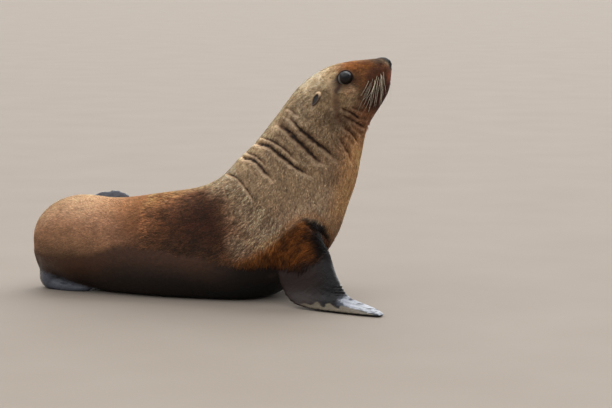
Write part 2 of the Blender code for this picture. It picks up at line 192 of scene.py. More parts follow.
# The edges of the soaked shoulder hair, at stations along x.
SHOULDER_EDGE = (
    (0.080, 0.100), (0.130, 0.120), (0.160, 0.136), (0.190, 0.156), (0.212, 0.174), (0.240, 0.202),
    (0.263, 0.219), (0.283, 0.226), (0.300, 0.220), (0.315, 0.206), (0.327, 0.190), (0.350, 0.170),
)
SHOULDER_FOOT = (
    (0.080, 0.102), (0.137, 0.098), (0.214, 0.100), (0.274, 0.099), (0.311, 0.113), (0.328, 0.124),
    (0.344, 0.143), (0.355, 0.160),
)


def under(points, stations):
    """How far points lie below a line drawn on the side of the body."""
    xs, zs = zip(*stations)
    return np.interp(points[:, 0], xs, zs) - points[:, 2]


def wander(points, size, seed=0.0):
    """Smooth noise from -1 to 1, with waves about a size across."""
    shift = Vector((seed, seed * 1.7, seed * 2.3))
    return np.array([noise.noise(Vector(p) / size + shift) for p in points])


def side_reach(points):
    """How far points lie out from the trunk's middle plane, to either side."""
    return np.abs(points[:, 1] - BODY_MIDDLE_Y)


def waved(values, points, waves):
    """Values with noise of several sizes added. A wave is its height, its length and its seed."""
    for height, length, seed in waves:
        values = values + height * wander(points, length, seed)
    return values


# The ragged edges of the wet and the soaked coat, as waves.
WATERLINE_WAVES = ((0.005, 0.035, 0.0), (0.003, 0.010, 3))
SOAKED_WAVES = ((0.006, 0.030, 5), (0.003, 0.009, 7))
SOAKED_REAR = 0.080  # where the soaked hair starts along x
SOAKED_ASIDE = 0.045  # how far it stays from the middle plane behind the limbs
# How far the soaked hair stays from the middle plane before the limbs, at heights above the floor.
SOAKED_BEFORE = ((0.14, 0.0), (0.15, 0.009), (0.19, 0.066), (0.235, 0.110))
BEFORE_LIMBS = (0.27, 0.30)  # the stretch along x where one gives way to the other
# The painted shade of the hollow before the shoulder: its start along x at a height, its lean, and its edges.
ARMPIT_HEIGHT, ARMPIT_LEAN = 0.17, 0.5
ARMPIT_START = (0.303, 0.325)
ARMPIT_TOP = (-0.003, 0.006)  # below the soaked hair's edge
ARMPIT_ASIDE = (0.055, 0.080)
ARMPIT_LOW = (0.145, 0.165)  # heights below which it reaches the middle
ARMPIT_FOOT = (0.100, 0.130)


def wetness(points):
    """Metres below the waterline, less than 0 where the coat is dry."""
    return waved(under(points, WATERLINE), points, WATERLINE_WAVES)


def soaked(points):
    """Metres inside the soaked shoulder hair, which hangs over the waterline and meets between the limbs."""
    inside = np.minimum(under(points, SHOULDER_EDGE), -under(points, SHOULDER_FOOT))
    before = np.interp(points[:, 2], *zip(*SOAKED_BEFORE))
    nearest = SOAKED_ASIDE + (before - SOAKED_ASIDE) * smooth(points[:, 0], *BEFORE_LIMBS)
    inside = np.minimum(inside, side_reach(points) - nearest)
    inside = np.minimum(inside, (points[:, 0] - SOAKED_REAR) * 0.5)
    return waved(inside, points, SOAKED_WAVES)


def armpit(points):
    """1 in the painted shade of the hollow before the shoulder, under the front of the soaked hair's edge. It
    starts along a line that leans back as it climbs, and keeps to the sides above the elbow."""
    leaning = points[:, 0] + ARMPIT_LEAN * (points[:, 2] - ARMPIT_HEIGHT)
    below = smooth(under(points, SHOULDER_EDGE), *ARMPIT_TOP)
    ahead = smooth(leaning, *ARMPIT_START)
    aside = smooth(side_reach(points), *ARMPIT_ASIDE)
    low = 1 - smooth(points[:, 2], *ARMPIT_LOW)
    return below * ahead * np.maximum(aside, low) * smooth(points[:, 2], *ARMPIT_FOOT)


# A wash of colour: the middle and half lengths of the egg-shaped region it covers, how strong it is in the
# middle and how much of it is a soft edge. A region covers both sides of the body.
Wash = namedtuple("Wash", "name middle halves colour strength edge")
DRY_BACK = "#7d5439"
BODY_WASHES = (
    Wash("pale rump", (-0.44, 0.19), (0.27, 0.17), "#c39070", 1.0, 0.75),
    Wash("rump side", (-0.40, 0.13), (0.20, 0.09), "#98704f", 0.8, 0.8),
    Wash("rump over the water", (-0.37, 0.085), (0.22, 0.055), "#4b3424", 0.85, 0.8),
    Wash("rusty loin", (-0.17, 0.24), (0.15, 0.06), "#9b6643", 0.8, 0.8),
    Wash("dark loin", (-0.05, 0.18), (0.18, 0.09), "#472613", 0.9, 0.8),
    Wash("pale flank", (-0.175, 0.188), (0.060, 0.036), "#93613f", 0.8, 0.9),
    Wash("grey brown shoulder", (0.24, 0.25), (0.17, 0.17), "#ab8f75", 1.0, 0.5),
    Wash("pale shoulder front", (0.287, 0.262), (0.072, 0.075), "#dcbd9e", 0.9, 0.9),
    Wash("neck side", (0.19, 0.36), (0.20, 0.15), "#ad9375", 1.0, 0.6),
    Wash("dark behind the shoulder", (0.010, 0.20), (0.095, 0.13), "#30130a", 0.92, 0.8),
    Wash("pale behind the wet hair", (0.108, 0.150), (0.040, 0.036), "#a38b72", 0.7, 0.8),
    Wash("dark over the water", (-0.02, 0.125), (0.15, 0.040), "#2b180e", 0.85, 0.8),
    Wash("upper neck", (0.28, 0.47), (0.12, 0.12), "#947c60", 1.0, 0.6),
    # The next three are painted rim light: on the withers, the nape and the front of the chest.
    Wash("pale withers", (0.054, 0.302), (0.060, 0.034), "#dcb894", 0.60, 0.9),
    Wash("pale nape", (0.245, 0.500), (0.050, 0.050), "#e4cbaa", 0.36, 0.9),
    Wash("pale front of the chest", (0.390, 0.240), (0.026, 0.060), "#f3c592", 0.8, 0.9),
)
# On the head the middle is (forward, up) from the eyes.
HEAD_WASHES = (
    Wash("cheek", (-0.010, -0.040), (0.075, 0.055), "#8f7657", 1.0, 0.6),
    Wash("under the jaw", (-0.018, -0.105), (0.042, 0.045), "#4f3e2e", 0.7, 0.8),
    # The crown's pale coat is lightened further by painted light from above, most at the back of the crown.
    Wash("crown", (-0.050, 0.036), (0.075, 0.032), "#cfa678", 0.8, 0.8),
    Wash("pale back of the crown", (-0.092, -0.008), (0.054, 0.052), "#fbddb2", 1.0, 0.8),
    Wash("ear region", (-0.066, -0.040), (0.042, 0.038), "#917a5e", 0.8, 0.8),
    Wash("temple", (-0.042, 0.003), (0.024, 0.022), "#dab88c", 0.75, 0.9),
    Wash("brow", (0.014, 0.030), (0.042, 0.022), "#9c5e2a", 0.95, 0.8),
    Wash("bridge of the nose", (0.055, 0.032), (0.046, 0.024), "#7a4619", 0.95, 0.8),
    Wash("under the eye", (0.012, -0.032), (0.024, 0.016), "#ae8462", 0.68, 0.9),
    Wash("side of the muzzle", (0.042, -0.004), (0.024, 0.030), "#754a25", 0.9, 0.7),
    Wash("muzzle", (0.088, -0.008), (0.046, 0.046), "#4c2916", 1.0, 0.5),
    Wash("behind the nose pad", (0.086, 0.041), (0.030, 0.016), "#301c0f", 0.85, 0.7),
    Wash("muzzle front", (0.112, 0.000), (0.008, 0.022), "#8d4a2b", 0.7, 0.8),
    Wash("chin", (0.085, -0.052), (0.064, 0.044), "#361208", 0.97, 0.6),
    # Darker behind the eye, down from its rear corner.
    Wash("tear stain behind the eye", (-0.020, -0.017), (0.013, 0.030), "#3a3330", 1.0, 0.6),
    Wash("lids", (0.001, -0.003), (0.026, 0.027), "#3f2c22", 0.9, 0.5),
)


def mixed(tones, colour, share):
    """Tones moved toward a colour, each by its own share."""
    return tones + (colour - tones) * share[:, None]


def washed(tones, places, washes):
    """Tones with washes laid over them in their order."""
    for wash in washes:
        gap = np.linalg.norm((places - wash.middle) / wash.halves, axis=1)
        share = wash.strength * (1 - smooth(gap, 1 - wash.edge, 1 + 0.3 * wash.edge))
        tones = mixed(tones, linear(wash.colour), share)
    return tones


def bell(values, centre, half):
    """1 at a centre, falling away evenly on both sides."""
    return np.exp(-(((values - centre) / half) ** 2))


# The washes' edges drift by noise of this size, as far as this.
DRIFT_SIZE, DRIFT_REACH, DRIFT_SEEDS = 0.045, 0.010, (11, 13)
# Painted rim light along the ridge of the back, from the nape to the rump, with the ramps along -x where one
# shade follows another.
NAPE_RIM_LIGHT, BACK_RIM_LIGHT, RUMP_RIM_LIGHT = linear("#f6d2a6"), linear("#b98152"), linear("#eabd94")
NAPE_TO_BACK, BACK_TO_RUMP = (-0.10, 0.12), (0.18, 0.36)
RIDGE_LIGHT_STRENGTH = 0.85
RIDGE_WAIST = (-0.045, 0.050)  # the middle and half length of the stretch where it is narrow and faint
# How near the top of the back the ridge starts, where 1 is its middle line, and what changes that: the neck,
# the waist and the rump.
RIDGE_START, NECK_WIDER, WAIST_NARROWER, RUMP_WIDER = 0.78, 0.14, 0.12, 0.42
NECK_HEIGHTS, RUMP_STRETCH = (0.29, 0.38), (0.0, 0.25)
# Painted rim light down the front of the throat and chest: its shade, how near the middle line it starts, and
# its heights.
THROAT_RIM_LIGHT, THROAT_STRENGTH = linear("#ecb681"), 0.75
THROAT_WIDTH, THROAT_FOOT, THROAT_TOP = (0.72, 0.97), (0.16, 0.26), (0.38, 0.47)


def trunk_tones(points, drift):
    """The dry coat of the trunk and neck, with painted rim light along the back and down the throat."""
    x, z = points[:, 0], points[:, 2]
    tones = np.repeat(linear(DRY_BACK)[None], len(points), 0)
    tones = washed(tones, points[:, (0, 2)] + drift, BODY_WASHES)
    combed, _ = straightened(points)
    belly_side = combed[:, 2] / np.maximum(np.hypot(combed[:, 1], combed[:, 2]), 1e-6)
    # Painted rim light, strongest along the top of the back.
    ridge = mixed(NAPE_RIM_LIGHT, BACK_RIM_LIGHT, smooth(-x, *NAPE_TO_BACK))
    ridge = mixed(ridge, RUMP_RIM_LIGHT, smooth(-x, *BACK_TO_RUMP))
    waist = bell(x, *RIDGE_WAIST)
    start = RIDGE_START - NECK_WIDER * smooth(z, *NECK_HEIGHTS) + WAIST_NARROWER * waist
    start = start - RUMP_WIDER * smooth(-x, *RUMP_STRETCH)
    share = (RIDGE_LIGHT_STRENGTH - 0.30 * waist) * smooth(-belly_side - start, 0.0, 0.995 - start)
    tones = mixed(tones, ridge, share)
    # Painted rim light down the front of the throat and chest.
    front = smooth(belly_side, *THROAT_WIDTH) * smooth(z, *THROAT_FOOT) * (1 - smooth(z, *THROAT_TOP))
    return mixed(tones, THROAT_RIM_LIGHT, THROAT_STRENGTH * front)


# The head's coat takes over from the neck's along the head's own axis, and between these heights.
HEAD_START, HEAD_HEIGHT = (-0.17, -0.12), (0.43, 0.47)
HEAD_MOTTLE = (0.50, 0.56, 0.62)  # of red, green and blue


def head_tones(points, drift, tones):
    """The dry coat with the head's own marks and mottle laid over it."""
    head = in_head(points)
    marked = washed(tones, head[:, (0, 2)] + drift * 0.3, HEAD_WASHES)
    mottle = wander(points * (1, 1, 0.7), 0.011, 71) + 0.5 * wander(points, 0.005, 73)
    marked = marked * (1 + mottle[:, None] * HEAD_MOTTLE)
    return mixed(tones, marked, smooth(head[:, 0], *HEAD_START) * smooth(points[:, 2], *HEAD_HEIGHT))


# The wet belly near the waterline and deep below it, each from its rear to its front, over these stretches.
# Toward the front the wet coat darkens with painted shade under the chest, between the limbs.
SHALLOW_REAR, SHALLOW_FRONT_SHADE, SHALLOW_STRETCH = linear("#452a19"), linear("#170d08"), (-0.02, 0.12)
DEEP_REAR, DEEP_FRONT_SHADE, DEEP_STRETCH = linear("#21140b"), linear("#050302"), (-0.28, 0.10)
WET_DEPTH = (0.0, 0.09)
WET_EDGE = (-0.012, 0.010)


def wet_tones(points, wet):
    """The wet coat of the belly, darker the deeper it lay, and toward the chest with painted shade."""
    deep = mixed(DEEP_REAR, DEEP_FRONT_SHADE, smooth(points[:, 0], *DEEP_STRETCH))
    shallow = mixed(SHALLOW_REAR, SHALLOW_FRONT_SHADE, smooth(points[:, 0], *SHALLOW_STRETCH))
    return mixed(shallow, deep, smooth(wet, *WET_DEPTH))


# The soaked hair: its edge and its core, the stretch and depth where one gives way to the other, the painted
# shade over its front, and how dark its foot and its clumps are.
SOAKED_EDGE, SOAKED_CORE, SOAKED_FRONT_SHADE = linear("#9a6030"), linear("#754218"), linear("#0c0502")
CORE_DEPTH, CORE_STRETCH = (0.004, 0.032), (0.14, 0.22)
FRONT_HEIGHT, FRONT_LEAN, FRONT_START = 0.15, 0.5, (0.294, 0.332)
FOOT_SHADE, FOOT_HEIGHT = 0.55, (0.0, 0.035)
CLUMP_SHADE, CLUMP_RANGE = 0.55, (0.05, 0.45)


def soaked_tones(points):
    """The soaked shoulder hair in dark clumps, with painted shade in front, darker at its foot."""
    leaning = points[:, 0] + FRONT_LEAN * (points[:, 2] - FRONT_HEIGHT)
    core = smooth(under(points, SHOULDER_EDGE), *CORE_DEPTH) * smooth(points[:, 0], *CORE_STRETCH)
    foot = smooth(-under(points, SHOULDER_FOOT), *FOOT_HEIGHT)
    clump = smooth(wander(points, 0.022, 61) + 0.4 * wander(points, 0.009, 63), *CLUMP_RANGE)
    tones = mixed(SOAKED_EDGE, SOAKED_CORE, core)
    tones = tones * (1 - FOOT_SHADE * (1 - foot[:, None])) * (1 - CLUMP_SHADE * clump[:, None])
    # Painted shade over the front of the soaked hair.
    return mixed(tones, SOAKED_FRONT_SHADE, smooth(leaning, *FRONT_START))


# The dry rim above the soaked hair: its shade, its strength, and its middle and half width from that edge.
DRY_RIM, RIM_STRENGTH, RIM_PLACE, RIM_STRETCH = linear("#b88558"), 0.7, (-0.010, 0.009), (0.13, 0.20)
SOAKED_BLEND = (-0.008, 0.010)
# The bare arm from its rear to its front, and the painted shade of the hollow before it.
ARM_REAR, ARM_FRONT, ARM_STRETCH = linear("#2b1e1b"), linear("#110d0d"), (0.29, 0.36)
ARMPIT_SHADE = linear("#0b0503")
# The furred upper part of the near hind limb, over these ramps along -x, z and y.
ANKLE_TONE, ANKLE_REAR, ANKLE_HEIGHT, ANKLE_SIDE = linear("#2c2019"), (0.2, 0.3), (0.045, 0.090), (0.03, 0.05)


def tone(points, bare, limbs):
    """The colour of skin and coat at points. bare is 1 on the flippers and fades to 0 on the coat, and
    limbs is 1 on the flippers only."""
    x, y, z = points.T
    drift = np.stack([wander(points, DRIFT_SIZE, seed) for seed in DRIFT_SEEDS], 1) * DRIFT_REACH
    tones = head_tones(points, drift, trunk_tones(points, drift))
    wet = wetness(points)
    damp = smooth(wet, *WET_EDGE)
    tones = mixed(tones, wet_tones(points, wet), damp)
    inside = soaked(points)
    rim = bell(inside, *RIM_PLACE) * smooth(x, *RIM_STRETCH) * (1 - damp)
    tones = mixed(tones, DRY_RIM, RIM_STRENGTH * rim)
    tones = mixed(tones, soaked_tones(points), smooth(inside, *SOAKED_BLEND))
    slate = np.maximum(bare * smooth(wet, -0.02, 0.02), limbs * (1 - smooth(inside, -0.004, 0.006)))
    tones = mixed(tones, mixed(ARM_REAR, ARM_FRONT, smooth(x, *ARM_STRETCH)), slate)
    # Painted shade in the hollow before the shoulder.
    tones = mixed(tones, ARMPIT_SHADE, armpit(points))
    ankle = limbs * smooth(-x, *ANKLE_REAR) * smooth(z, *ANKLE_HEIGHT) * (1 - smooth(y, *ANKLE_SIDE))
    return mixed(tones, ANKLE_TONE, ankle)


# ------------------------------------------------------------------ the skin's mesh


class Hide:
    """The points of a mesh while they are pressed and pulled into skin."""

    def __init__(self, mesh):
        self.mesh = mesh
        count = len(mesh.vertices)
        flat = np.empty(count * 3, np.float32)
        mesh.vertices.foreach_get("co", flat)
        self.points = flat.reshape(-1, 3).astype(float)
        edges = np.empty(len(mesh.edges) * 2, np.int32)
        mesh.edges.foreach_get("vertices", edges)
        self.edges = edges.reshape(-1, 2)
        self.degree = np.bincount(self.edges.ravel(), minlength=count)
        self.settle()

    def settle(self):
        """Writes the points to the mesh and reads its normals."""
        self.mesh.vertices.foreach_set("co", self.points.astype(np.float32).ravel())
        self.mesh.update()
        flat = np.empty(len(self.mesh.vertices) * 3, np.float32)
        self.mesh.vertex_normals.foreach_get("vector", flat)
        self.normals = flat.reshape(-1, 3).astype(float)

    def averaged(self, values):
        """Each point's value as the mean of its neighbours'."""
        one, two = self.edges.T
        count = len(self.points)
        if values.ndim == 1:
            total = np.bincount(one, values[two], count) + np.bincount(two, values[one], count)
            return total / self.degree
        return np.stack([self.averaged(values[:, i]) for i in range(values.shape[1])], 1)

    def relax(self, weights, steps):
        """Draws each point toward the mean of its neighbours by its weight, again and again."""
        for _ in range(steps):
            self.points += weights[:, None] * (self.averaged(self.points) - self.points)
        self.settle()

    def blurred(self, values, steps):
        """Values spread evenly over their neighbours."""
        for _ in range(steps):
            values = self.averaged(values)
        return values


def merged_flesh(overlap):
    """All the flesh as one mesh, its pieces just overlapping, with eyes and ears filling their sockets."""
    form = bmesh.new()
    for name in FLESH + EYES + EARS:
        piece = bmesh.new()
        piece.from_mesh(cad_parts[name].data)
        bmesh.ops.remove_doubles(piece, verts=piece.verts, dist=MERGE)
        piece.normal_update()
        for vert in piece.verts:
            vert.co += vert.normal * overlap
        mesh = bpy.data.meshes.new(name)
        piece.to_mesh(mesh)
        piece.free()
        form.from_mesh(mesh)
        bpy.data.meshes.remove(mesh)
    merged = bpy.data.meshes.new("flesh")
    form.to_mesh(merged)
    form.free()
    return merged


def remeshed(mesh, voxel):
    """The outside of a mesh as even squares."""
    shell = bpy.data.objects.new("flesh", mesh)
    bpy.context.scene.collection.objects.link(shell)
    remesh = shell.modifiers.new("even squares", "REMESH")
    remesh.mode = "VOXEL"
    remesh.voxel_size = voxel
    graph = bpy.context.evaluated_depsgraph_get()
    made = bpy.data.meshes.new_from_object(shell.evaluated_get(graph))
    bpy.data.objects.remove(shell)
    bpy.data.meshes.remove(mesh)
    return made


def islands(hide):
    """A label for each point, shared by the points that edges join."""
    labels = np.arange(len(hide.points))
    one, two = hide.edges.T
    while True:
        lowest = np.minimum(labels[one], labels[two])
        after = labels.copy()
        np.minimum.at(after, one, lowest)
        np.minimum.at(after, two, lowest)
        after = after[after]
        if (after == labels).all():
            return labels
        labels = after


def drop_crumbs(mesh):
    """Leaves only the mesh's largest island."""
    labels = islands(Hide(mesh))
    largest = np.bincount(labels).argmax()
    if (labels == largest).all():
        return
    form = bmesh.new()
    form.from_mesh(mesh)
    form.verts.ensure_lookup_table()
    crumbs = [form.verts[i] for i in np.flatnonzero(labels != largest)]
    bmesh.ops.delete(form, geom=crumbs, context="VERTS")
    form.to_mesh(mesh)
    form.free()


def refine(mesh, chosen):
    """Cuts each edge between two chosen points in half, and the faces with it."""
    form = bmesh.new()
    form.from_mesh(mesh)
    form.verts.ensure_lookup_table()
    for vert, wanted in zip(form.verts, chosen):
        vert.tag = bool(wanted)
    edges = [edge for edge in form.edges if edge.verts[0].tag and edge.verts[1].tag]
    bmesh.ops.subdivide_edges(form, edges=edges, cuts=1, use_grid_fill=True, smooth=0.0)
    form.to_mesh(mesh)
    form.free()
    mesh.update()


def node_shares(points, names):
    """1 for each point whose nearest flesh node is one of names, else 0."""
    corners = []
    faces = []
    owners = []
    for name in FLESH:
        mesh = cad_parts[name].data
        start = len(corners)
        corners += [vert.co for vert in mesh.vertices]
        faces += [[start + i for i in face.vertices] for face in mesh.polygons]
        owners += [name in names] * len(mesh.polygons)
    tree = BVHTree.FromPolygons(corners, faces)
    return np.array([float(owners[tree.find_nearest(Vector(point))[2]]) for point in points])


# A fold or ridge pressed in the skin: its path, half width and depth in metres, how dark its painted shade
# is and how much skin it pushes up beside it. Depths below 0 raise a ridge.
Fold = namedtuple("Fold", "name path width depth dark swell")
NECK_FOLDS = (
    Fold("lower nape fold", ((0.070, BODY_MIDDLE_Y, 0.370), (0.0965, -0.115, 0.368), (0.121, -0.140, 0.367),
         (0.146, -0.160, 0.357), (0.169, -0.176, 0.339), (0.192, -0.188, 0.321), (0.203, -0.190, 0.314)),
         0.0052, 0.0052, 1.0, 0.22),
    Fold("lower nape fold, upper line", ((0.080, BODY_MIDDLE_Y, 0.382), (0.115, -0.122, 0.379),
         (0.1405, -0.147, 0.374), (0.163, -0.165, 0.360), (0.183, -0.178, 0.344)), 0.0040, 0.0030, 0.9, 0.2),
    Fold("middle nape fold", ((0.101, BODY_MIDDLE_Y, 0.402), (0.1405, -0.125, 0.408), (0.169, -0.146, 0.403),
         (0.198, -0.166, 0.388), (0.226, -0.175, 0.371), (0.252, -0.179, 0.353), (0.2835, -0.178, 0.336),
         (0.312, -0.168, 0.320)), 0.0060, 0.0060, 1.0, 0.22),
    Fold("middle nape fold, upper line", ((0.125, -0.080, 0.418), (0.1605, -0.130, 0.420),
         (0.186, -0.148, 0.414), (0.209, -0.159, 0.403), (0.232, -0.168, 0.387), (0.252, -0.173, 0.369),
         (0.272, -0.173, 0.357)), 0.0042, 0.0034, 0.9, 0.2),
    Fold("upper nape fold", ((0.170, -0.100, 0.458), (0.209, -0.142, 0.450), (0.232, -0.156, 0.436),
         (0.252, -0.163, 0.419), (0.278, -0.167, 0.398), (0.3005, -0.166, 0.376), (0.323, -0.158, 0.361),
         (0.340, -0.148, 0.354)), 0.0070, 0.0064, 1.0, 0.22),
    Fold("fold under the ear", ((0.205, -0.130, 0.482), (0.235, -0.146, 0.467), (0.2635, -0.157, 0.443),
         (0.298, -0.161, 0.418), (0.329, -0.157, 0.396), (0.347, -0.149, 0.378), (0.360, -0.139, 0.352)),
         0.0062, 0.0062, 1.0, 0.22),
    Fold("faint fold under the ear", ((0.205, -0.115, 0.506), (0.232, -0.140, 0.492),
         (0.254, -0.150, 0.480)), 0.0036, 0.0022, 0.7, 0.2),
    Fold("withers fold", ((0.030, -0.085, 0.322), (0.0777, -0.145, 0.322), (0.1005, -0.167, 0.314),
         (0.1205, -0.186, 0.298), (0.1405, -0.201, 0.276), (0.151, -0.208, 0.256)),
         0.0036, 0.0032, 0.9, 0.2),
    Fold("small withers fold", ((0.050, -0.150, 0.300), (0.062, -0.172, 0.283), (0.078, -0.190, 0.259)),
         0.0032, 0.0026, 0.8, 0.2),
    Fold("fold between the nape folds", ((0.238, -0.152, 0.451), (0.262, -0.159, 0.430),
         (0.292, -0.163, 0.402)), 0.0030, 0.0020, 0.6, 0.2),
)
THROAT_FOLDS = (
    Fold("crease behind the cheek", ((0.342, -0.103, 0.588), (0.340, -0.1225, 0.550), (0.342, -0.128, 0.532),
         (0.346, -0.133, 0.504), (0.352, -0.1355, 0.482), (0.357, -0.136, 0.461), (0.361, -0.134, 0.440)),
         0.0100, 0.0050, 0.60, 0.20),
    Fold("first throat fold", ((0.352, -0.134, 0.507), (0.3591, -0.130, 0.501), (0.381, -0.121, 0.491),
         (0.3965, -0.107, 0.477), (0.405, -0.090, 0.466)), 0.0042, 0.0046, 0.85, 0.4),
    Fold("second throat fold", ((0.357, -0.132, 0.489), (0.364, -0.1285, 0.483), (0.383, -0.117, 0.472),
         (0.399, -0.096, 0.458), (0.407, -0.071, 0.448), (0.408, BODY_MIDDLE_Y, 0.444)),
         0.0042, 0.0046, 0.85, 0.4),
    Fold("third throat fold", ((0.359, -0.131, 0.458), (0.3665, -0.127, 0.452), (0.380, -0.115, 0.441),
         (0.391, -0.095, 0.421), (0.3945, -0.081, 0.404)), 0.0044, 0.0044, 0.85, 0.4),
    Fold("fourth throat fold", ((0.352, -0.138, 0.437), (0.358, -0.134, 0.4235), (0.369, -0.124, 0.402),
         (0.378, -0.109, 0.380), (0.380, -0.100, 0.352)), 0.0044, 0.0036, 0.7, 0.4),
    Fold("crease under the chin", ((0.376, -0.123, 0.506), (0.384, -0.1196, 0.502), (0.3976, -0.111, 0.497),
         (0.408, -0.0997, 0.488)), 0.0036, 0.0026, 0.6, 0.3),
)
SHOULDER_FOLDS = (
    Fold("crease before the shoulder", ((0.262, -0.189, 0.214), (0.285, -0.184, 0.2065),
         (0.305, -0.179, 0.194), (0.311, -0.141, 0.1815), (0.317, -0.113, 0.165), (0.316, -0.066, 0.144)),
         0.0070, 0.0036, 0.5, 0.1),
)
# The mouth starts across the middle of the lips, so that its two sides join, and ends at its corner.
MOUTH_FOLDS = (
    Fold("mouth", ((0.110, 0.016, -0.013), (0.112, 0.0, -0.010), (0.108, -0.014, -0.016),
         (0.101, -0.026, -0.025), (0.090, -0.036, -0.033), (0.077, -0.044, -0.041),
         (0.063, -0.053, -0.049), (0.053, -0.059, -0.057), (0.046, -0.062, -0.067)),
         0.0024, 0.0050, 1.0, 0.30),
    Fold("half of the philtrum", ((0.111, 0.0, 0.026), (0.114, 0.0, 0.008), (0.112, 0.0, -0.008)),
         0.0018, 0.0011, 0.7, 0.2),
    Fold("nostril", ((0.112, -0.003, 0.026), (0.110, -0.007, 0.033), (0.104, -0.011, 0.038)),
         0.0024, 0.0060, 1.0, 0.3),
)


def placed_folds():
    """Every fold with its path in the row frame, on both sides of the body."""
    placed = []
    for fold in NECK_FOLDS + THROAT_FOLDS + SHOULDER_FOLDS:
        placed += [(fold, np.array(fold.path)), (fold, mirrored(fold.path))]
    for fold in MOUTH_FOLDS:
        placed += [(fold, from_head(np.array(fold.path) * (1, side, 1))) for side in (1, -1)]
    return placed


def nearby(points):
    """A tree that finds the nearest of some points."""
    tree = KDTree(len(points))
    for index, point in enumerate(points):
        tree.insert(point, index)
    tree.balance()
    return tree


FOLD_STEP = 0.002  # between the points of a fold's curve
# A fold's width wanders along its length and, in finer waves, beside it. Each is its size and its share.
FOLD_WANDER, FOLD_FRAY, FRAY_SEED = (0.014, 0.55), (0.006, 0.35), 53
FOLD_TAPER = 0.25  # the share of its length at each end
SWELL_PLACE = 2.2  # half widths from a fold's middle where the pushed up skin is highest
SHADE_BREAKS, BREAKS_SEED = (0.010, 0.35), 57


def fold_gap(points, placed):
    """How far points lie from the nearest fold."""
    tree = nearby(np.concatenate([eased(path, 2 * FOLD_STEP) for _, path in placed]))
    return np.array([tree.find(point)[2] for point in points])


def press(hide, fold, path, dark, furrow, tree):
    """Presses a fold into the skin along a path, tapering to its ends, paints its shade and thins its hair.
    """
    line = eased(path, FOLD_STEP)
    snapped = [tree.find_nearest(Vector(point)) for point in line]
    line = np.array([hit[0] for hit in snapped])
    outward = np.array([hit[1] for hit in snapped])
    reach = 4 * fold.width
    low, high = line.min(0) - reach, line.max(0) + reach
    near = np.flatnonzero(((hide.points > low) & (hide.points < high)).all(1))
    gaps = np.linalg.norm(hide.points[near][:, None] - line[None], axis=2)
    nearest = gaps.argmin(1)
    uneven = FOLD_WANDER[1] * wander(line, FOLD_WANDER[0])
    frayed = FOLD_FRAY[1] * wander(hide.points[near], FOLD_FRAY[0], FRAY_SEED)
    gap = gaps[np.arange(len(near)), nearest] / (fold.width * (1 + uneven[nearest]))
    gap = np.abs(gap + frayed)
    facing = smooth(np.einsum("ij,ij->i", hide.normals[near], outward[nearest]), 0.0, 0.3)
    share = nearest / max(1, len(line) - 1)
    taper = smooth(share, 0, FOLD_TAPER) * smooth(1 - share, 0, FOLD_TAPER)
    groove = bell(gap, 0, 1) * taper * facing
    swelling = bell(gap, SWELL_PLACE, 1) * taper**2 * facing
    move = fold.depth * (fold.swell * swelling - groove)
    hide.points[near] += hide.normals[near] * move[:, None]
    # The painted shade is widest half way along, and breaks up as the hair closes over it.
    spread = 1.7 - 0.85 * np.sin(np.pi * share)
    broken = 0.88 + SHADE_BREAKS[1] * wander(hide.points[near], SHADE_BREAKS[0], BREAKS_SEED)
    painted_shade = bell(spread * gap, 0, 1) * taper * facing * broken.clip(0, 1)
    dark[near] = np.maximum(dark[near], fold.dark * painted_shade)
    bald = bell(0.9 * gap, 0, 1) * taper * facing
    furrow[near] = np.maximum(furrow[near], fold.dark * bald)


def skin_tree(hide):
    """A tree that finds the nearest place on the skin and its normal."""
    faces = [tuple(face.vertices) for face in hide.mesh.polygons]
    return BVHTree.FromPolygons([Vector(point) for point in hide.points], faces)


# The middles of each flipper's trailing and leading edges, from the wrist or the ankle to the tip.
BLADES = {
    "right_fore_flipper": (
        ((0.219, -0.205, 0.048), (0.381, -0.215, 0.064)),
        ((0.234, -0.221, 0.024), (0.397, -0.220, 0.040)),
        ((0.266, -0.252, 0.010), (0.422, -0.217, 0.022)),
        ((0.326, -0.279, 0.006), (0.447, -0.226, 0.014)),
        ((0.394, -0.303, 0.005), (0.473, -0.243, 0.010)),
        ((0.460, -0.325, 0.005), (0.498, -0.272, 0.007)),
        ((0.506, -0.333, 0.005), (0.518, -0.311, 0.005)),
    ),
    "left_fore_flipper": (
        ((0.126, 0.109, 0.040), (0.262, 0.122, 0.055)),
        ((0.122, 0.133, 0.018), (0.260, 0.150, 0.032)),
        ((0.112, 0.165, 0.009), (0.250, 0.182, 0.018)),
        ((0.102, 0.205, 0.006), (0.230, 0.226, 0.012)),
        ((0.096, 0.248, 0.005), (0.204, 0.273, 0.009)),
        ((0.098, 0.290, 0.005), (0.172, 0.310, 0.007)),
        ((0.112, 0.323, 0.005), (0.142, 0.331, 0.005)),
    ),
    "right_hind_flipper": (
        ((-0.486, -0.058, 0.052), (-0.432, -0.102, 0.044)),
        ((-0.490, -0.045, 0.024), (-0.446, -0.108, 0.018)),
        ((-0.468, -0.040, 0.010), (-0.422, -0.117, 0.010)),
        ((-0.428, -0.044, 0.007), (-0.386, -0.128, 0.007)),
        ((-0.390, -0.058, 0.005), (-0.352, -0.128, 0.005)),
        ((-0.350, -0.077, 0.005), (-0.326, -0.123, 0.005)),
    ),
    "left_hind_flipper": (
        ((-0.472, 0.059, 0.120), (-0.396, 0.073, 0.138)),
        ((-0.468, 0.083, 0.158), (-0.382, 0.088, 0.148)),
        ((-0.456, 0.099, 0.194), (-0.354, 0.097, 0.166)),
        ((-0.426, 0.111, 0.223), (-0.322, 0.105, 0.187)),
        ((-0.382, 0.118, 0.245), (-0.296, 0.113, 0.210)),
        ((-0.338, 0.122, 0.249), (-0.296, 0.118, 0.234)),
    ),
}
DIGITS = (0.10, 0.30, 0.50, 0.70, 0.90)  # the digits' places across a blade
DIGIT_HALF = 0.055
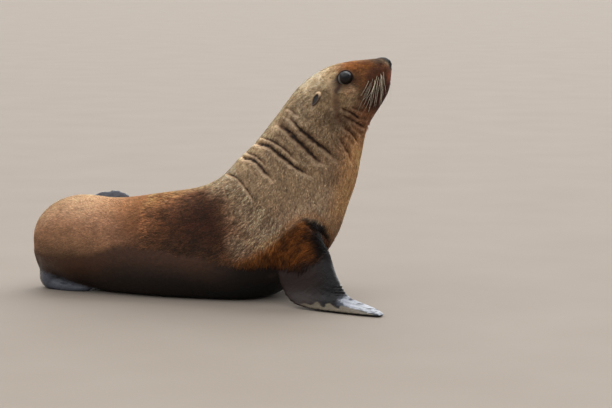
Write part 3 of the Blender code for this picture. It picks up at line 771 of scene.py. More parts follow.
DIGIT_HEIGHTS = {"fore": 0.0010, "hind": 0.0030}
# How far across the fore flippers' blades sand clings, against a share that runs aslant along them, where
# dark lobes reach into it, and where the pale, painted wet sheen begins, against the share along them.
ASLANT = 0.54
SANDY = ((0.34, 0.0), (0.445, 0.14), (0.54, 0.31), (0.66, 0.43), (0.78, 0.42), (0.88, 0.34), (1.00, 0.20),
         (1.12, 0.04), (1.25, -0.1))
LOBES = ((0.488, 0.08), (0.599, 0.22), (0.722, 0.22))
LOBE_HALF = 0.036
WET_SHEEN_START = ((0.14, 1.02), (0.22, 0.86), (0.33, 0.74), (0.45, 0.54), (0.60, 0.34), (0.72, 0.20), (0.85, 0.02),
        (0.95, -0.1))
# The wrinkles of the wrist's leading edge: their height and how far apart they are along the blade.
WRINKLE_HEIGHT, WRINKLE_GAP = 0.0016, 0.047
# The hind blades' black, lightened blue-grey by a painted wet sheen, and the sand that clings to the fore
# blades.
HIND_BLADE_AND_SHEEN, SAND = linear("#4b4d55"), linear("#6b6151")
SHEEN_PALE, SHEEN_DIM = linear("#999ca3"), linear("#3c4048")
HIND_ROUGH, SHEEN_ROUGH, SAND_ROUGH, WRIST_ROUGH = 0.17, 0.50, 0.9, 0.36
BLADE_REACH = 0.030  # how far skin may lie from a blade's middle sheet and belong to it
BLADE_ROWS, BLADE_COLUMNS = 60, 40  # steps of the middle sheet, along and across
Blade = namedtuple("Blade", "flipper near along across")


def blades_of(hide, limbs):
    """Each flipper's points, with their shares along the blade and across it from the trailing edge."""
    found = []
    candidates = np.flatnonzero(limbs > 0.3)
    for flipper, edges in BLADES.items():
        edges = np.array(edges)
        rows = np.linspace(0, len(edges) - 1, BLADE_ROWS + 1)
        low = np.minimum(rows.astype(int), len(edges) - 2)
        chords = edges[low] + (edges[low + 1] - edges[low]) * (rows - low)[:, None, None]
        shares = np.linspace(0, 1, BLADE_COLUMNS + 1)
        sheet = chords[:, None, 0] + (chords[:, 1] - chords[:, 0])[:, None] * shares[None, :, None]
        tree = nearby(sheet.reshape(-1, 3))
        hits = [(i, tree.find_n(hide.points[i], 4)) for i in candidates]
        hits = [(i, near) for i, near in hits if near[0][2] < BLADE_REACH]
        weights = np.array([[1 / (hit[2] + 1e-4) for hit in near] for _, near in hits])
        weights /= weights.sum(1, keepdims=True)
        index = np.array([[hit[1] for hit in near] for _, near in hits])
        along = (weights * (index // len(shares))).sum(1) / BLADE_ROWS
        across = (weights * (index % len(shares))).sum(1) / BLADE_COLUMNS
        found.append(Blade(flipper, np.array([i for i, _ in hits]), along, across))
    return found


def wrist_of(blade):
    """How far each point of a blade belongs to the wrist and to the leading edge, and how far through the
    wrist's wrinkles it lies, as an angle."""
    wrist = smooth(blade.along, -0.01, 0.04) * (1 - smooth(blade.along, 0.20, 0.26))
    return wrist, smooth(blade.across, 0.50, 0.75), FULL_TURN * blade.along / WRINKLE_GAP


def shape_blades(hide, blades):
    """Raises the digits on the flippers' blades and wrinkles the leading edge at the wrist."""
    for blade in blades:
        limb = "hind" if "hind" in blade.flipper else "fore"
        digits = sum(bell(blade.across, place, DIGIT_HALF) for place in DIGITS)
        reach = smooth(blade.along, 0.05, 0.35) * (1 - smooth(blade.along, 0.80, 1.0))
        move = DIGIT_HEIGHTS[limb] * (digits - 0.5) * reach
        if limb == "fore":
            wrist, leading, turn = wrist_of(blade)
            move += WRINKLE_HEIGHT * (np.cos(turn) * leading) * wrist
        hide.points[blade.near] += hide.normals[blade.near] * move[:, None]
    hide.settle()


def mark_blades(tones, rough, hide, blades):
    """Colours the blades: the hind ones glossy black with a painted sheen; in front sand on the trailing half
    and a pale, painted wet sheen on the leading edge and the tip."""
    for blade in blades:
        spots = hide.points[blade.near]
        if "hind" in blade.flipper:
            # Glossy black with a painted blue-grey sheen.
            share = smooth(blade.along, -0.02, 0.12)
            tones[blade.near] = mixed(tones[blade.near], HIND_BLADE_AND_SHEEN, share)
            rough[blade.near] += (HIND_ROUGH - rough[blade.near]) * share
            continue
        top = smooth(hide.normals[blade.near, 2], -0.3, 0.2)
        mottle = wander(spots, 0.017, 41) + 0.5 * wander(spots, 0.007, 43)
        aslant = blade.along + ASLANT * blade.across
        lobes = sum(reach * bell(aslant, place, LOBE_HALF) for place, reach in LOBES)
        margin = np.interp(aslant, *zip(*SANDY)) - blade.across
        sandy = smooth(margin - lobes + 0.03 * mottle, -0.02, 0.03)
        sandy *= 0.75 + 0.25 * smooth(wander(spots, 0.004, 47), -0.3, 0.3)
        wet_sheen = smooth(blade.across - np.interp(blade.along, *zip(*WET_SHEEN_START)) + 0.10 * mottle, -0.05, 0.07)
        wet_sheen *= smooth(blade.along, 0.10, 0.24)
        # Dark patches break up the painted sheen, most of all beside the sand.
        patches = smooth(mottle + 0.40 * bell(margin, 0, 0.10), -0.02, 0.30)
        pale = mixed(SHEEN_PALE, SHEEN_DIM, patches)
        for share, colour, gloss in ((wet_sheen * top, pale, SHEEN_ROUGH), (sandy * top, SAND, SAND_ROUGH)):
            tones[blade.near] = mixed(tones[blade.near], colour, share)
            rough[blade.near] += (gloss - rough[blade.near]) * share
        wrist, leading, turn = wrist_of(blade)
        wrist = wrist * leading
        # Painted shade in the troughs of the wrist's wrinkles.
        tones[blade.near] *= (1 - 0.6 * wrist * smooth(-np.cos(turn), -0.2, 0.8))[:, None]
        rough[blade.near] += (WRIST_ROUGH - rough[blade.near]) * wrist


# How far the lids open at turns round the eye, in degrees from the front over the top, as shares of the lid
# angle.
LID_OPENING = ((0, 1.18), (30, 1.10), (60, 1.05), (90, 1.04), (120, 1.05), (155, 1.12), (185, 1.24),
               (215, 1.32), (245, 1.36), (280, 1.34), (320, 1.25), (360, 1.18))
# A crease beside the lids: its depth, and its middle and half width in degrees beyond the opening.
LID_CREASE = (0.0016, 13, 4)
LID_HOLLOW = (0.0010, 15, 5)
LID_REACH = 22  # degrees beyond the opening where the lids give way to the face
LID_SLOPE = 4  # degrees over which the skin drops behind the ball
# The middle of the lids' opening: outward, forward and up.
GAZE = (0.93, 0.12, 0.17)


def lids(hide, eye, settings):
    """Opens the lids over one eye: inside the opening the skin drops behind the eyeball, and round it it
    rests on the ball as two soft rims."""
    centre = middle(eye)
    side = np.sign(in_head(centre)[1])
    gaze = gaze_of(eye)
    ahead = unit(HEAD_FORWARD - gaze * (HEAD_FORWARD @ gaze))
    above = np.cross(gaze, ahead) * -side
    above *= np.sign(above[2])
    offset = hide.points - centre
    radius = np.linalg.norm(offset, axis=1)
    near = np.flatnonzero(radius < 2.2 * settings.eye_radius)
    ways = offset[near] / radius[near][:, None]
    angle = np.degrees(np.arccos(np.clip(ways @ gaze, -1, 1)))
    turn = np.arctan2(ways @ above, ways @ ahead)
    opening = settings.lid_angle * np.interp(np.degrees(turn) % 360, *zip(*LID_OPENING))
    beyond = angle - opening
    ball = settings.eye_radius
    inside = ball - settings.lid_drop
    rim = ball + settings.lid_rise * (1 + 0.35 * np.sin(turn))
    fair = radius[near]
    held = rim + (fair - rim) * smooth(beyond, 2, LID_REACH)
    # The crease above the upper lid, and the shallow hollow below the lower one.
    for (depth, place, half), above_eye in ((LID_CREASE, np.sin(turn)), (LID_HOLLOW, -np.sin(turn))):
        held -= depth * bell(beyond, place, half) * smooth(above_eye, 0.0, 0.6)
    wanted = np.where(beyond < 0, inside + (rim - inside) * smooth(beyond, -LID_SLOPE, 0), held)
    hide.points[near] = centre + ways * wanted[:, None]
    return near, beyond


def gaze_of(eye):
    """The way to the middle of the opening of an eye's lids."""
    side = np.sign(in_head(middle(eye))[1])
    return unit(HEAD_ACROSS * side * GAZE[0] + HEAD_FORWARD * GAZE[1] + UP * GAZE[2])


EAR_LUMP = (0.001, 0.008)  # how far outside an ear's box the smoothing still works fully and at all
EAR_SMOOTHING = 60  # rounds


def flatten_ears(hide):
    """Smooths away the lumps where the ears' solids stood, leaving fair skin for their roots."""
    weights = np.zeros(len(hide.points))
    for ear in EARS:
        low, high = (np.array(corner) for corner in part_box(ear))
        outside = np.maximum(low - hide.points, hide.points - high).max(1)
        weights = np.maximum(weights, 1 - smooth(outside, *EAR_LUMP))
    hide.relax(0.8 * weights, EAR_SMOOTHING)


def set_attribute(mesh, name, kind, values):
    """Stores values at a mesh's vertices: kind is FLOAT, FLOAT_VECTOR or FLOAT_COLOR."""
    layer = mesh.attributes.new(name, kind, "POINT")
    field = {"FLOAT": "value", "FLOAT_VECTOR": "vector", "FLOAT_COLOR": "color"}[kind]
    if kind == "FLOAT_COLOR":
        values = np.concatenate((values, np.ones((len(values), 1))), 1)
    layer.data.foreach_set(field, np.ascontiguousarray(values, np.float32).ravel())


def stored(mesh, name, size=1):
    """The values of an attribute that holds size numbers at each vertex."""
    values = np.empty(len(mesh.vertices) * size, np.float32)
    mesh.attributes[name].data.foreach_get({1: "value", 3: "vector", 4: "color"}[size], values)
    return values if size == 1 else values.reshape(-1, size)


def in_scene(mesh, name, material, replaced=()):
    """Shows a finished mesh: riding on the body, for the nodes it replaces."""
    piece = bpy.data.objects.new(name, mesh)
    bpy.context.scene.collection.objects.link(piece)
    mesh.materials.clear()
    mesh.materials.append(material)
    mesh.shade_smooth()
    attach(piece, "root")
    if replaced:
        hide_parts(*replaced)
    return piece


UNWRAP_ANGLE = 1.15  # radians between faces that share an island
UNWRAP_MARGIN = 0.002


def unwrapped(piece):
    """Gives the skin its own unwrap, which the coat's roots share."""
    piece.data.uv_layers.new(name="OFBake")
    bpy.context.view_layer.objects.active = piece
    piece.select_set(True)
    bpy.ops.object.mode_set(mode="EDIT")
    bpy.ops.mesh.select_all(action="SELECT")
    bpy.ops.uv.smart_project(angle_limit=UNWRAP_ANGLE, island_margin=UNWRAP_MARGIN)
    bpy.ops.object.mode_set(mode="OBJECT")
    piece.select_set(False)


# ------------------------------------------------------------------ materials


def add_node(tree, kind, values=None, links=None, **settings):
    """Adds a node with its settings, its sockets' values and the outputs linked to its sockets."""
    made = tree.nodes.new(kind)
    for name, value in settings.items():
        setattr(made, name, value)
    for socket, value in (values or {}).items():
        made.inputs[socket].default_value = value
    for socket, source in (links or {}).items():
        tree.links.new(source, made.inputs[socket])
    return made


def new_material(name, values):
    """A material with one Principled shader that holds these values."""
    material = bpy.data.materials.new(name)
    material.use_nodes = True
    shader = material.node_tree.nodes["Principled BSDF"]
    for socket, value in values.items():
        shader.inputs[socket].default_value = value
    return material, material.node_tree, shader


def rgba(colour):
    """A linear colour as a socket takes it."""
    return (*colour, 1.0)


def hide_material():
    """Sea lion skin under short guard hair: matt and streaked where dry, dark and slick where wet. Hair over
    skin scatters light, so that its IOR and highlights are a little lower than keratin's."""
    material, tree, shader = new_material("sea_lion_hide", {"IOR": 1.45, "Specular IOR Level": 0.36})
    colour, gloss, bare, combed = (
        add_node(tree, "ShaderNodeAttribute", attribute_name=name)
        for name in ("tone", "rough", "bare", "combed")
    )
    place = add_node(tree, "ShaderNodeTexCoord")
    # Guard hairs are about 0.1 mm thick and 10 mm long. They are drawn 2.2 mm wide so that they show.
    lie = add_node(tree, "ShaderNodeMapping", {"Scale": (1 / 0.010, 1 / 0.0022, 1 / 0.0022)},
                   {"Vector": combed.outputs["Vector"]})
    streaks = add_node(tree, "ShaderNodeTexNoise", {"Scale": 1.0, "Detail": 3.0, "Roughness": 0.6},
                       {"Vector": lie.outputs["Vector"]})
    # Clumps of hair some 12 mm across, where the coat parts and dries unevenly.
    clumps = add_node(tree, "ShaderNodeTexNoise", {"Scale": 1 / 0.012, "Detail": 4.0, "Roughness": 0.65},
                      {"Vector": combed.outputs["Vector"]})
    # Skin grain of the bare flippers, some 3 mm across.
    grain = add_node(tree, "ShaderNodeTexVoronoi", {"Scale": 1 / 0.0032},
                     {"Vector": place.outputs["Object"]}, feature="SMOOTH_F1")
    # Patches some 9 mm across that are a little wetter or drier.
    drops = add_node(tree, "ShaderNodeTexNoise", {"Scale": 1 / 0.009, "Detail": 5.0, "Roughness": 0.6},
                     {"Vector": place.outputs["Object"]})
    shade_hair = add_node(tree, "ShaderNodeMapRange",
                          {"From Min": 0.25, "From Max": 0.75, "To Min": 0.72, "To Max": 1.28},
                          {"Value": streaks.outputs["Fac"]})
    shade_clump = add_node(tree, "ShaderNodeMapRange",
                           {"From Min": 0.3, "From Max": 0.7, "To Min": 0.82, "To Max": 1.16},
                           {"Value": clumps.outputs["Fac"]})
    shade = add_node(tree, "ShaderNodeMath", links={0: shade_hair.outputs[0], 1: shade_clump.outputs[0]},
                     operation="MULTIPLY")
    painted = add_node(tree, "ShaderNodeVectorMath", links={0: colour.outputs["Color"], 3: shade.outputs[0]},
                       operation="SCALE")
    tree.links.new(painted.outputs[0], shader.inputs["Base Color"])
    patchy = add_node(tree, "ShaderNodeMapRange",
                      {"From Min": 0.35, "From Max": 0.65, "To Min": -0.08, "To Max": 0.08},
                      {"Value": drops.outputs["Fac"]})
    rough = add_node(tree, "ShaderNodeMath", links={0: gloss.outputs["Fac"], 1: patchy.outputs[0]},
                     operation="ADD")
    tree.links.new(rough.outputs[0], shader.inputs["Roughness"])
    hair_bump = add_node(tree, "ShaderNodeBump", {"Strength": 0.55, "Distance": 0.0011},
                         {"Height": streaks.outputs["Fac"]})
    clump_bump = add_node(tree, "ShaderNodeBump", {"Strength": 0.5, "Distance": 0.0035},
                          {"Height": clumps.outputs["Fac"], "Normal": hair_bump.outputs["Normal"]})
    grain_share = add_node(tree, "ShaderNodeMath",
                           links={0: grain.outputs["Distance"], 1: bare.outputs["Fac"]}, operation="MULTIPLY")
    grain_bump = add_node(tree, "ShaderNodeBump", {"Strength": 0.35, "Distance": 0.0010},
                          {"Height": grain_share.outputs[0], "Normal": clump_bump.outputs["Normal"]})
    tree.links.new(grain_bump.outputs["Normal"], shader.inputs["Normal"])
    return material


def coat_material(name, rough, sheen, specular=0.5):
    """Sea lion hair, which is keratin, with an IOR of 1.55: each lock has the tones stored along it."""
    material, tree, shader = new_material(
        name,
        {
            "IOR": 1.55,
            "Roughness": rough,
            "Specular IOR Level": specular,
            "Sheen Weight": sheen,
            "Sheen Tint": rgba(linear("#f2c9a0")),
        },
    )
    colour = add_node(tree, "ShaderNodeAttribute", attribute_name="tone")
    place = add_node(tree, "ShaderNodeTexCoord")
    # The hairs of a lock differ in shade over some 2 mm, far coarser than single hairs, so that it shows.
    fleck = add_node(tree, "ShaderNodeTexNoise", {"Scale": 1 / 0.002, "Detail": 2.0},
                     {"Vector": place.outputs["Object"]})
    shade = add_node(tree, "ShaderNodeMapRange",
                     {"From Min": 0.3, "From Max": 0.7, "To Min": 0.85, "To Max": 1.15},
                     {"Value": fleck.outputs["Fac"]})
    painted = add_node(tree, "ShaderNodeVectorMath", links={0: colour.outputs["Color"], 3: shade.outputs[0]},
                       operation="SCALE")
    tree.links.new(painted.outputs[0], shader.inputs["Base Color"])
    bump = add_node(tree, "ShaderNodeBump", {"Strength": 0.3, "Distance": 0.0004},
                    {"Height": fleck.outputs["Fac"]})
    tree.links.new(bump.outputs["Normal"], shader.inputs["Normal"])
    return material


# The eye's shades from the middle of its gaze to 90 degrees off it: pupil, iris, its dark rim and the white.
EYE_SHADES = ((0.0, "#050507"), (0.24, "#070709"), (0.30, "#17110f"), (0.53, "#150f0e"), (0.59, "#0b0a0b"),
              (0.640, "#5f5c57"), (1.0, "#7d7871"))


def eye_material():
    """A wet eye: near black iris and pupil behind a clear cornea, and a strip of grey white at its rim. The
    cornea's IOR is 1.376, and the tear film over it is as smooth as water."""
    material, tree, shader = new_material(
        "wet_eye",
        {
            "Roughness": 0.30,
            "IOR": 1.376,
            "Specular IOR Level": 0.3,
            "Coat Weight": 0.55,
            "Coat Roughness": 0.05,
            "Coat IOR": 1.34,
        },
    )
    gaze = add_node(tree, "ShaderNodeAttribute", attribute_name="gaze")
    place = add_node(tree, "ShaderNodeTexCoord")
    # Fibres of the iris, some 1.5 mm across, move its edges by up to 1.5 degrees.
    fibres = add_node(tree, "ShaderNodeTexNoise", {"Scale": 1 / 0.0015, "Detail": 3.0},
                      {"Vector": place.outputs["Object"]})
    nudge = add_node(tree, "ShaderNodeMapRange", {"To Min": -1.5, "To Max": 1.5},
                     {"Value": fibres.outputs["Fac"]})
    angle = add_node(tree, "ShaderNodeMath", links={0: gaze.outputs["Fac"], 1: nudge.outputs[0]},
                     operation="ADD")
    share = add_node(tree, "ShaderNodeMath", {1: 90.0}, {0: angle.outputs[0]}, operation="DIVIDE")
    ramp = add_node(tree, "ShaderNodeValToRGB", links={"Fac": share.outputs[0]})
    stops = ramp.color_ramp.elements
    for index, (position, shade) in enumerate(EYE_SHADES):
        stop = stops[index] if index < 2 else stops.new(position)
        stop.position = position
        stop.color = rgba(linear(shade))
    tree.links.new(ramp.outputs["Color"], shader.inputs["Base Color"])
    return material


def floor_material():
    """A smooth painted studio floor, matt and pale, a little uneven in shade over some 0.3 m."""
    material, tree, shader = new_material("matt_studio_floor", {"Roughness": 0.9, "IOR": 1.45})
    place = add_node(tree, "ShaderNodeTexCoord")
    mottle = add_node(tree, "ShaderNodeTexNoise", {"Scale": 3.0, "Detail": 3.0},
                      {"Vector": place.outputs["Object"]})
    ramp = add_node(tree, "ShaderNodeValToRGB", links={"Fac": mottle.outputs["Fac"]})
    for stop, shade in zip(ramp.color_ramp.elements, ("#877b6f", "#8f8478")):
        stop.color = rgba(linear(shade))
    tree.links.new(ramp.outputs["Color"], shader.inputs["Base Color"])
    return material


# ------------------------------------------------------------------ locks of hair


PATCH = 0.003  # the side of each strand's patch of the map


def strands(name, paths, across, outward, widths, thickness, tones, uvs):
    """A mesh of closed three-sided strands. paths is (strand, ring, xyz) with the tip last; across and
    outward are (strand, xyz); widths and thickness are (strand, ring) without the tip; tones is (strand,
    ring, rgb) with the tip; uvs is (strand, uv) at the root."""
    count, rings = paths.shape[0], paths.shape[1] - 1
    side = across[:, None] * widths[:, :, None] / 2
    rise = outward[:, None] * thickness[:, :, None]
    body = paths[:, :-1]
    ring_points = np.stack((body - side, body + side, body + rise), 2)
    points = np.concatenate((ring_points.reshape(count, rings * 3, 3), paths[:, -1:]), 1)
    each = rings * 3 + 1
    faces = [(0, 2, 1)]
    quads = []
    for ring in range(rings - 1):
        for corner in range(3):
            one, two = ring * 3 + corner, ring * 3 + (corner + 1) % 3
            quads.append((one, two, two + 3, one + 3))
    last = (rings - 1) * 3
    faces += [(last + corner, last + (corner + 1) % 3, each - 1) for corner in range(3)]
    starts = (np.arange(count) * each)[:, None, None]
    triangles = (np.array(faces)[None] + starts).reshape(-1, 3)
    fours = (np.array(quads)[None] + starts).reshape(-1, 4) if quads else np.empty((0, 4), int)
    mesh = bpy.data.meshes.new(name)
    corners = np.concatenate((triangles.ravel(), fours.ravel()))
    sizes = np.concatenate((np.full(len(triangles), 3), np.full(len(fours), 4)))
    mesh.vertices.add(count * each)
    mesh.vertices.foreach_set("co", points.reshape(-1).astype(np.float32))
    mesh.loops.add(len(corners))
    mesh.loops.foreach_set("vertex_index", corners.astype(np.int32))
    mesh.polygons.add(len(sizes))
    mesh.polygons.foreach_set("loop_start", np.concatenate(([0], np.cumsum(sizes)[:-1])).astype(np.int32))
    mesh.update(calc_edges=True)
    shade = np.concatenate((np.repeat(tones[:, :-1], 3, axis=1), tones[:, -1:]), 1)
    set_attribute(mesh, "tone", "FLOAT_COLOR", shade.reshape(-1, 3))
    # Each strand's patch lies at its root's place on the skin's unwrap.
    u = np.concatenate((np.tile((-0.5, 0.5, 0.0), rings), (0.0,))) * PATCH
    v = np.concatenate((np.repeat(np.linspace(-0.5, 0.4, rings), 3), (0.5,))) * PATCH
    spots = uvs[:, None] + np.stack((u, v), 1)[None]
    layer = mesh.uv_layers.new(name="OFBake")
    layer.data.foreach_set("uv", spots.reshape(-1, 2)[corners].astype(np.float32).ravel())
    mesh.validate()
    return mesh


Roots = namedtuple("Roots", "points normals uvs tones combed furrow")


def scattered(skin, density, seed):
    """Roots strewn over the skin, as many to the square metre as density says at each of its vertices."""
    mesh = skin.data
    mesh.calc_loop_triangles()
    count = len(mesh.loop_triangles)
    corners = np.empty(count * 3, np.int32)
    mesh.loop_triangles.foreach_get("vertices", corners)
    corners = corners.reshape(-1, 3)
    loops = np.empty(count * 3, np.int32)
    mesh.loop_triangles.foreach_get("loops", loops)
    uv = np.empty(len(mesh.loops) * 2, np.float32)
    mesh.uv_layers["OFBake"].data.foreach_get("uv", uv)
    uv = uv.reshape(-1, 2)[loops.reshape(-1, 3)]
    hide = Hide(mesh)
    shape = hide.points[corners]
    area = np.linalg.norm(np.cross(shape[:, 1] - shape[:, 0], shape[:, 2] - shape[:, 0]), axis=1) / 2
    share = np.cumsum(area * density[corners].mean(1))
    rng = np.random.default_rng(seed)
    wanted = int(share[-1])
    picks = np.searchsorted(share, (np.arange(wanted) + rng.random(wanted)) * share[-1] / wanted)
    picks = np.minimum(picks, count - 1)
    mix = rng.dirichlet((1, 1, 1), len(picks))

    def at_roots(values):
        """Values of the skin's vertices at the roots."""
        return np.einsum("ij,ijk->ik", mix, values[corners[picks]])

    roots = Roots(
        at_roots(hide.points),
        unit(at_roots(hide.normals)),
        np.einsum("ij,ijk->ik", mix, uv[picks]),
        at_roots(stored(mesh, "tone", 4))[:, :3],
        at_roots(stored(mesh, "combed", 3)),
        at_roots(stored(mesh, "furrow")[:, None])[:, 0],
    )
    return roots, rng


# How much hair slopes down the flanks and falls down the shoulders, and over which stretches: out from the
# middle plane, along x, and up z.
FLANK_SLOPE, FLANK_ASIDE = 0.30, (0.05, 0.14)
SHOULDER_FALL, FALL_START, FALL_TOP = 1.8, (0.12, 0.24), (0.24, 0.38)


def lie_of(points, normals):
    """The way the hair lies: to the tail, falling down the flanks and shoulders."""
    _, toward = straightened(points)
    fall = SHOULDER_FALL * smooth(points[:, 0], *FALL_START) * (1 - smooth(points[:, 2], *FALL_TOP))
    flank = FLANK_SLOPE * smooth(side_reach(points), *FLANK_ASIDE)
    toward = toward - UP * (flank + fall)[:, None]
    toward -= normals * np.einsum("ij,ij->i", toward, normals)[:, None]
    return unit(toward)


ELBOW = (0.290, 0.110)  # along x and z


def arched(lie, points, normals):
    """The lie of the soaked hair: it runs round the shoulder in arches that end in a downward fall."""
    spoke = unit(points[:, (0, 2)] - ELBOW)
    across = -np.maximum(spoke[:, 1], 0)
    down = np.minimum(spoke[:, 0], 0) - 0.30
    arch = np.stack((across, 0 * across, down), 1)
    arch -= normals * np.einsum("ij,ij->i", arch, normals)[:, None]
    return unit(0.4 * lie + unit(arch))


ROOT_DEPTH = 0.0006  # how far a lock's root sinks in the skin
FURROW_SHORTENING = 0.7  # how much shorter locks are in a fold
FLATNESS = 0.30  # a lock's thickness as a share of its width
# Where locks dry together in streaks: how much longer than wide each kind is, its width, seed and share.
STREAKS = ((2.6, 0.0055, 29, 1.0), (2.0, 0.016, 31, 0.6))


def combed_locks(name, roots, rng, lengths, width, lift, fleck, ends, rings=1, wave=0.0, swing=0.22):
    """Locks that lie along the coat. lengths is each lock's own, lift how steeply they rise, fleck how much
    one lock's shade differs from the next, ends the shades of root and tip, wave how far long ones bend from
    side to side, and swing how far they turn from the coat's lie."""
    count = len(roots.points)
    lie = lie_of(roots.points, roots.normals)
    if wave:
        lie = arched(lie, roots.points, roots.normals)
    lengths = lengths * (1 - FURROW_SHORTENING * roots.furrow)
    across = np.cross(roots.normals, lie)
    turn = swing * (0.7 * rng.standard_normal(count) + 1.2 * wander(roots.points, 0.03, 17))
    lie = unit(lie * np.cos(turn)[:, None] + across * np.sin(turn)[:, None])
    across = np.cross(roots.normals, lie)
    share = np.linspace(0, 1, rings + 1)
    rise = lift * (1 + 0.5 * rng.standard_normal(count)).clip(0.2, 2.2)
    phase = rng.random(count) * FULL_TURN
    reach = lengths[:, None] * share
    climb = rise[:, None] * lengths[:, None] * np.sin(share * np.pi * 0.62) - ROOT_DEPTH * (1 - share)
    sway = wave * lengths[:, None] * np.sin(share * 2 * np.pi * 1.2 + phase[:, None]) * share
    paths = (
        roots.points[:, None]
        + lie[:, None] * reach[:, :, None]
        + roots.normals[:, None] * climb[:, :, None]
        + across[:, None] * sway[:, :, None]
    )
    body = share[:-1]
    taper = (1 - 0.55 * body**1.5) * (0.75 + 0.5 * np.sin(np.pi * np.minimum(1, body + 0.25)))
    widths = width * (0.7 + 0.6 * rng.random(count))[:, None] * taper
    streak = sum(
        part * wander(roots.combed * (1 / longer, 1, 1), wide, seed) for longer, wide, seed, part in STREAKS
    )
    differs = (rng.standard_normal(count) + 1.6 * streak).clip(-2.2, 1.5)
    shade = np.exp(fleck * differs)[:, None] * np.interp(share, (0, 1), ends)
    strand_tones = (roots.tones[:, None] * shade[:, :, None]).clip(0, 1)
    return strands(name, paths, across, roots.normals, widths, widths * FLATNESS, strand_tones, roots.uvs)


# ------------------------------------------------------------------ settings


def metres(name, default, description):
    """A length that a user can change."""
    return FloatProperty(name=name, description=description, default=default, min=0.0, precision=4,
                         unit="LENGTH")


def strength(name, default, description):
    """A light's strength that a user can change."""
    return FloatProperty(name=name, description=description, default=default, min=0.0)


def spread(name, default, description):
    """How wide a light is, as an angle that a user can change."""
    return FloatProperty(name=name, description=description, default=default, min=0.0, max=3.1,
                         subtype="ANGLE")


class SkinSettings(bpy.types.PropertyGroup):
    """Sizes of the skin."""

    voxel: metres("Square", 0.0057, "Side of the even squares that the skin is made of")
    overlap: metres("Overlap", 0.0005, "How far the flesh's pieces are swollen so that they join")
    coat_depth: metres("Coat depth", 0.0022, "How far the skin lies inside the coat's surface")
    eye_radius: metres("Eye radius", 0.0205, "Radius of the eyeballs")
    lid_angle: FloatProperty(name="Lid angle", default=56.0, min=20.0, max=80.0,
                             description="Half angle of the opening of the lids, in degrees")
    lid_drop: metres("Lid drop", 0.0035, "How far the skin drops behind the eyeball in the opening")
    lid_rise: metres("Lid rise", 0.0014, "How far the lids' rims stand proud of the eyeball")


class CoatSettings(bpy.types.PropertyGroup):
    """Sizes of the coat."""

    density: FloatProperty(name="Density", default=290000.0, min=0.0,
                           description="Locks to the square metre of dry skin")
    length: metres("Length", 0.012, "Length of a lock on the trunk")
    width: metres("Width", 0.0017, "Width of a lock")
    soaked_density: FloatProperty(name="Soaked density", default=150000.0, min=0.0,
                                  description="Locks to the square metre of soaked skin")
    soaked_length: metres("Soaked length", 0.016, "Length of a lock of the soaked shoulder hair")


class WhiskerSettings(bpy.types.PropertyGroup):
    """Sizes of the whiskers."""

    length: metres("Length", 0.130, "Length of the longest whisker")
    width: metres("Width", 0.0008, "Width of a whisker at its root")
    colour: FloatVectorProperty(name="Colour", default=tuple(linear("#f1e6c8")), subtype="COLOR", size=3,
                                min=0.0, max=1.0, description="Colour of the whiskers")


class StageSettings(bpy.types.PropertyGroup):
    """The camera and the light."""

    focal_length: FloatProperty(name="Focal length", default=130.0, min=10.0,
                                description="Focal length of the camera's lens, in millimetres")
    fill_strength: strength("Fill", 0.58, "Strength of the even light from all round")
    overhead_strength: strength("Overhead light", 1.9, "Strength of the light overhead")
    overhead_spread: spread("Overhead spread", 1.7, "How wide the light overhead is")
    back_strength: strength("Back light", 4.0, "Strength of the light behind")
    back_spread: spread("Back spread", 1.5, "How wide the light behind is")


# ------------------------------------------------------------------ operators


# A whisker: where it grows (forward and up from the eyes) and its length as a share of the longest.
WHISKERS = tuple(
    (
        0.1035 - 0.0105 * (place + 0.5 * (row % 2)) - 0.001 * row,
        0.022 - 0.0078 * row - 0.0066 * (place + 0.5 * (row % 2)),
        (0.45 + 0.55 * np.sin(np.pi * (place + 0.9) / 5.4)) * (1 - 0.15 * row),
    )
    for row in range(4)
    for place in range(4 if row % 2 else 5)
)
MUZZLE_SIDE = 0.05  # farther out than the muzzle's sides, where the search for the whiskers' roots starts
WHISKER_PIT = 0.0020  # how wide the dark spot round a whisker's root is

# The middle and half sizes of the bare nose pad: forward, across and up from the eyes.
NOSE_PAD = ((0.099, 0.0, 0.033), (0.029, 0.0185, 0.020))
NOSE_PAD_RISE = 0.0012
NOSE_PAD_TONE = linear("#070505")
# The painted shade of the folds, from its edges to its heart.
CREASE_SHADE_EDGE, CREASE_SHADE_HEART = linear("#4b2410"), linear("#0c0503")
# How rough skin is where it is dry, on the nose pad and in the hollow before the shoulder.
DRY_ROUGH, NOSE_ROUGH, ARMPIT_ROUGH = 0.86, 0.72, 0.95
# How much smoother wet and bare skin are than that, and how much rougher soaked hair is than wet skin.
WET_GLOSS, BARE_GLOSS, SOAKED_MATT = 0.30, 0.10, 0.20
GLOSS_EDGE = (-0.002, 0.008)  # the ramp inside the waterline
# The part of the head that is cut fine: its middle from the eyes and its radius.
FINE_HEAD = ((0.02, 0, -0.02), 0.130)
FINE_BESIDE_FOLDS, FINEST_BESIDE_FOLDS = 0.009, 0.0045
FINEST_ROUND_EYES = 0.031
MUZZLE_FRONT = (0.093, -0.030)  # cut finest ahead of and above these, from the eyes
DEEP_FOLD = 0.8  # folds as dark as this are cut finest
# The fore blades' upper sides: ahead of the first along x, below the second, facing up more than the third.
BLADE_TOPS = (0.05, 0.06, 0.2)


def nose_share(points):
    """1 on the bare nose pad, at the top of the muzzle's front."""
    centre, halves = NOSE_PAD
    return 1 - smooth(np.linalg.norm((in_head(points) - centre) / halves, axis=1), 0.85, 1.15)


# How much of the smoothing the flippers, and the head and tail, are spared, and its rounds.
LIMBS_CRISP, ENDS_CRISP, SMOOTHING_ROUNDS = 0.93, 0.72, 22
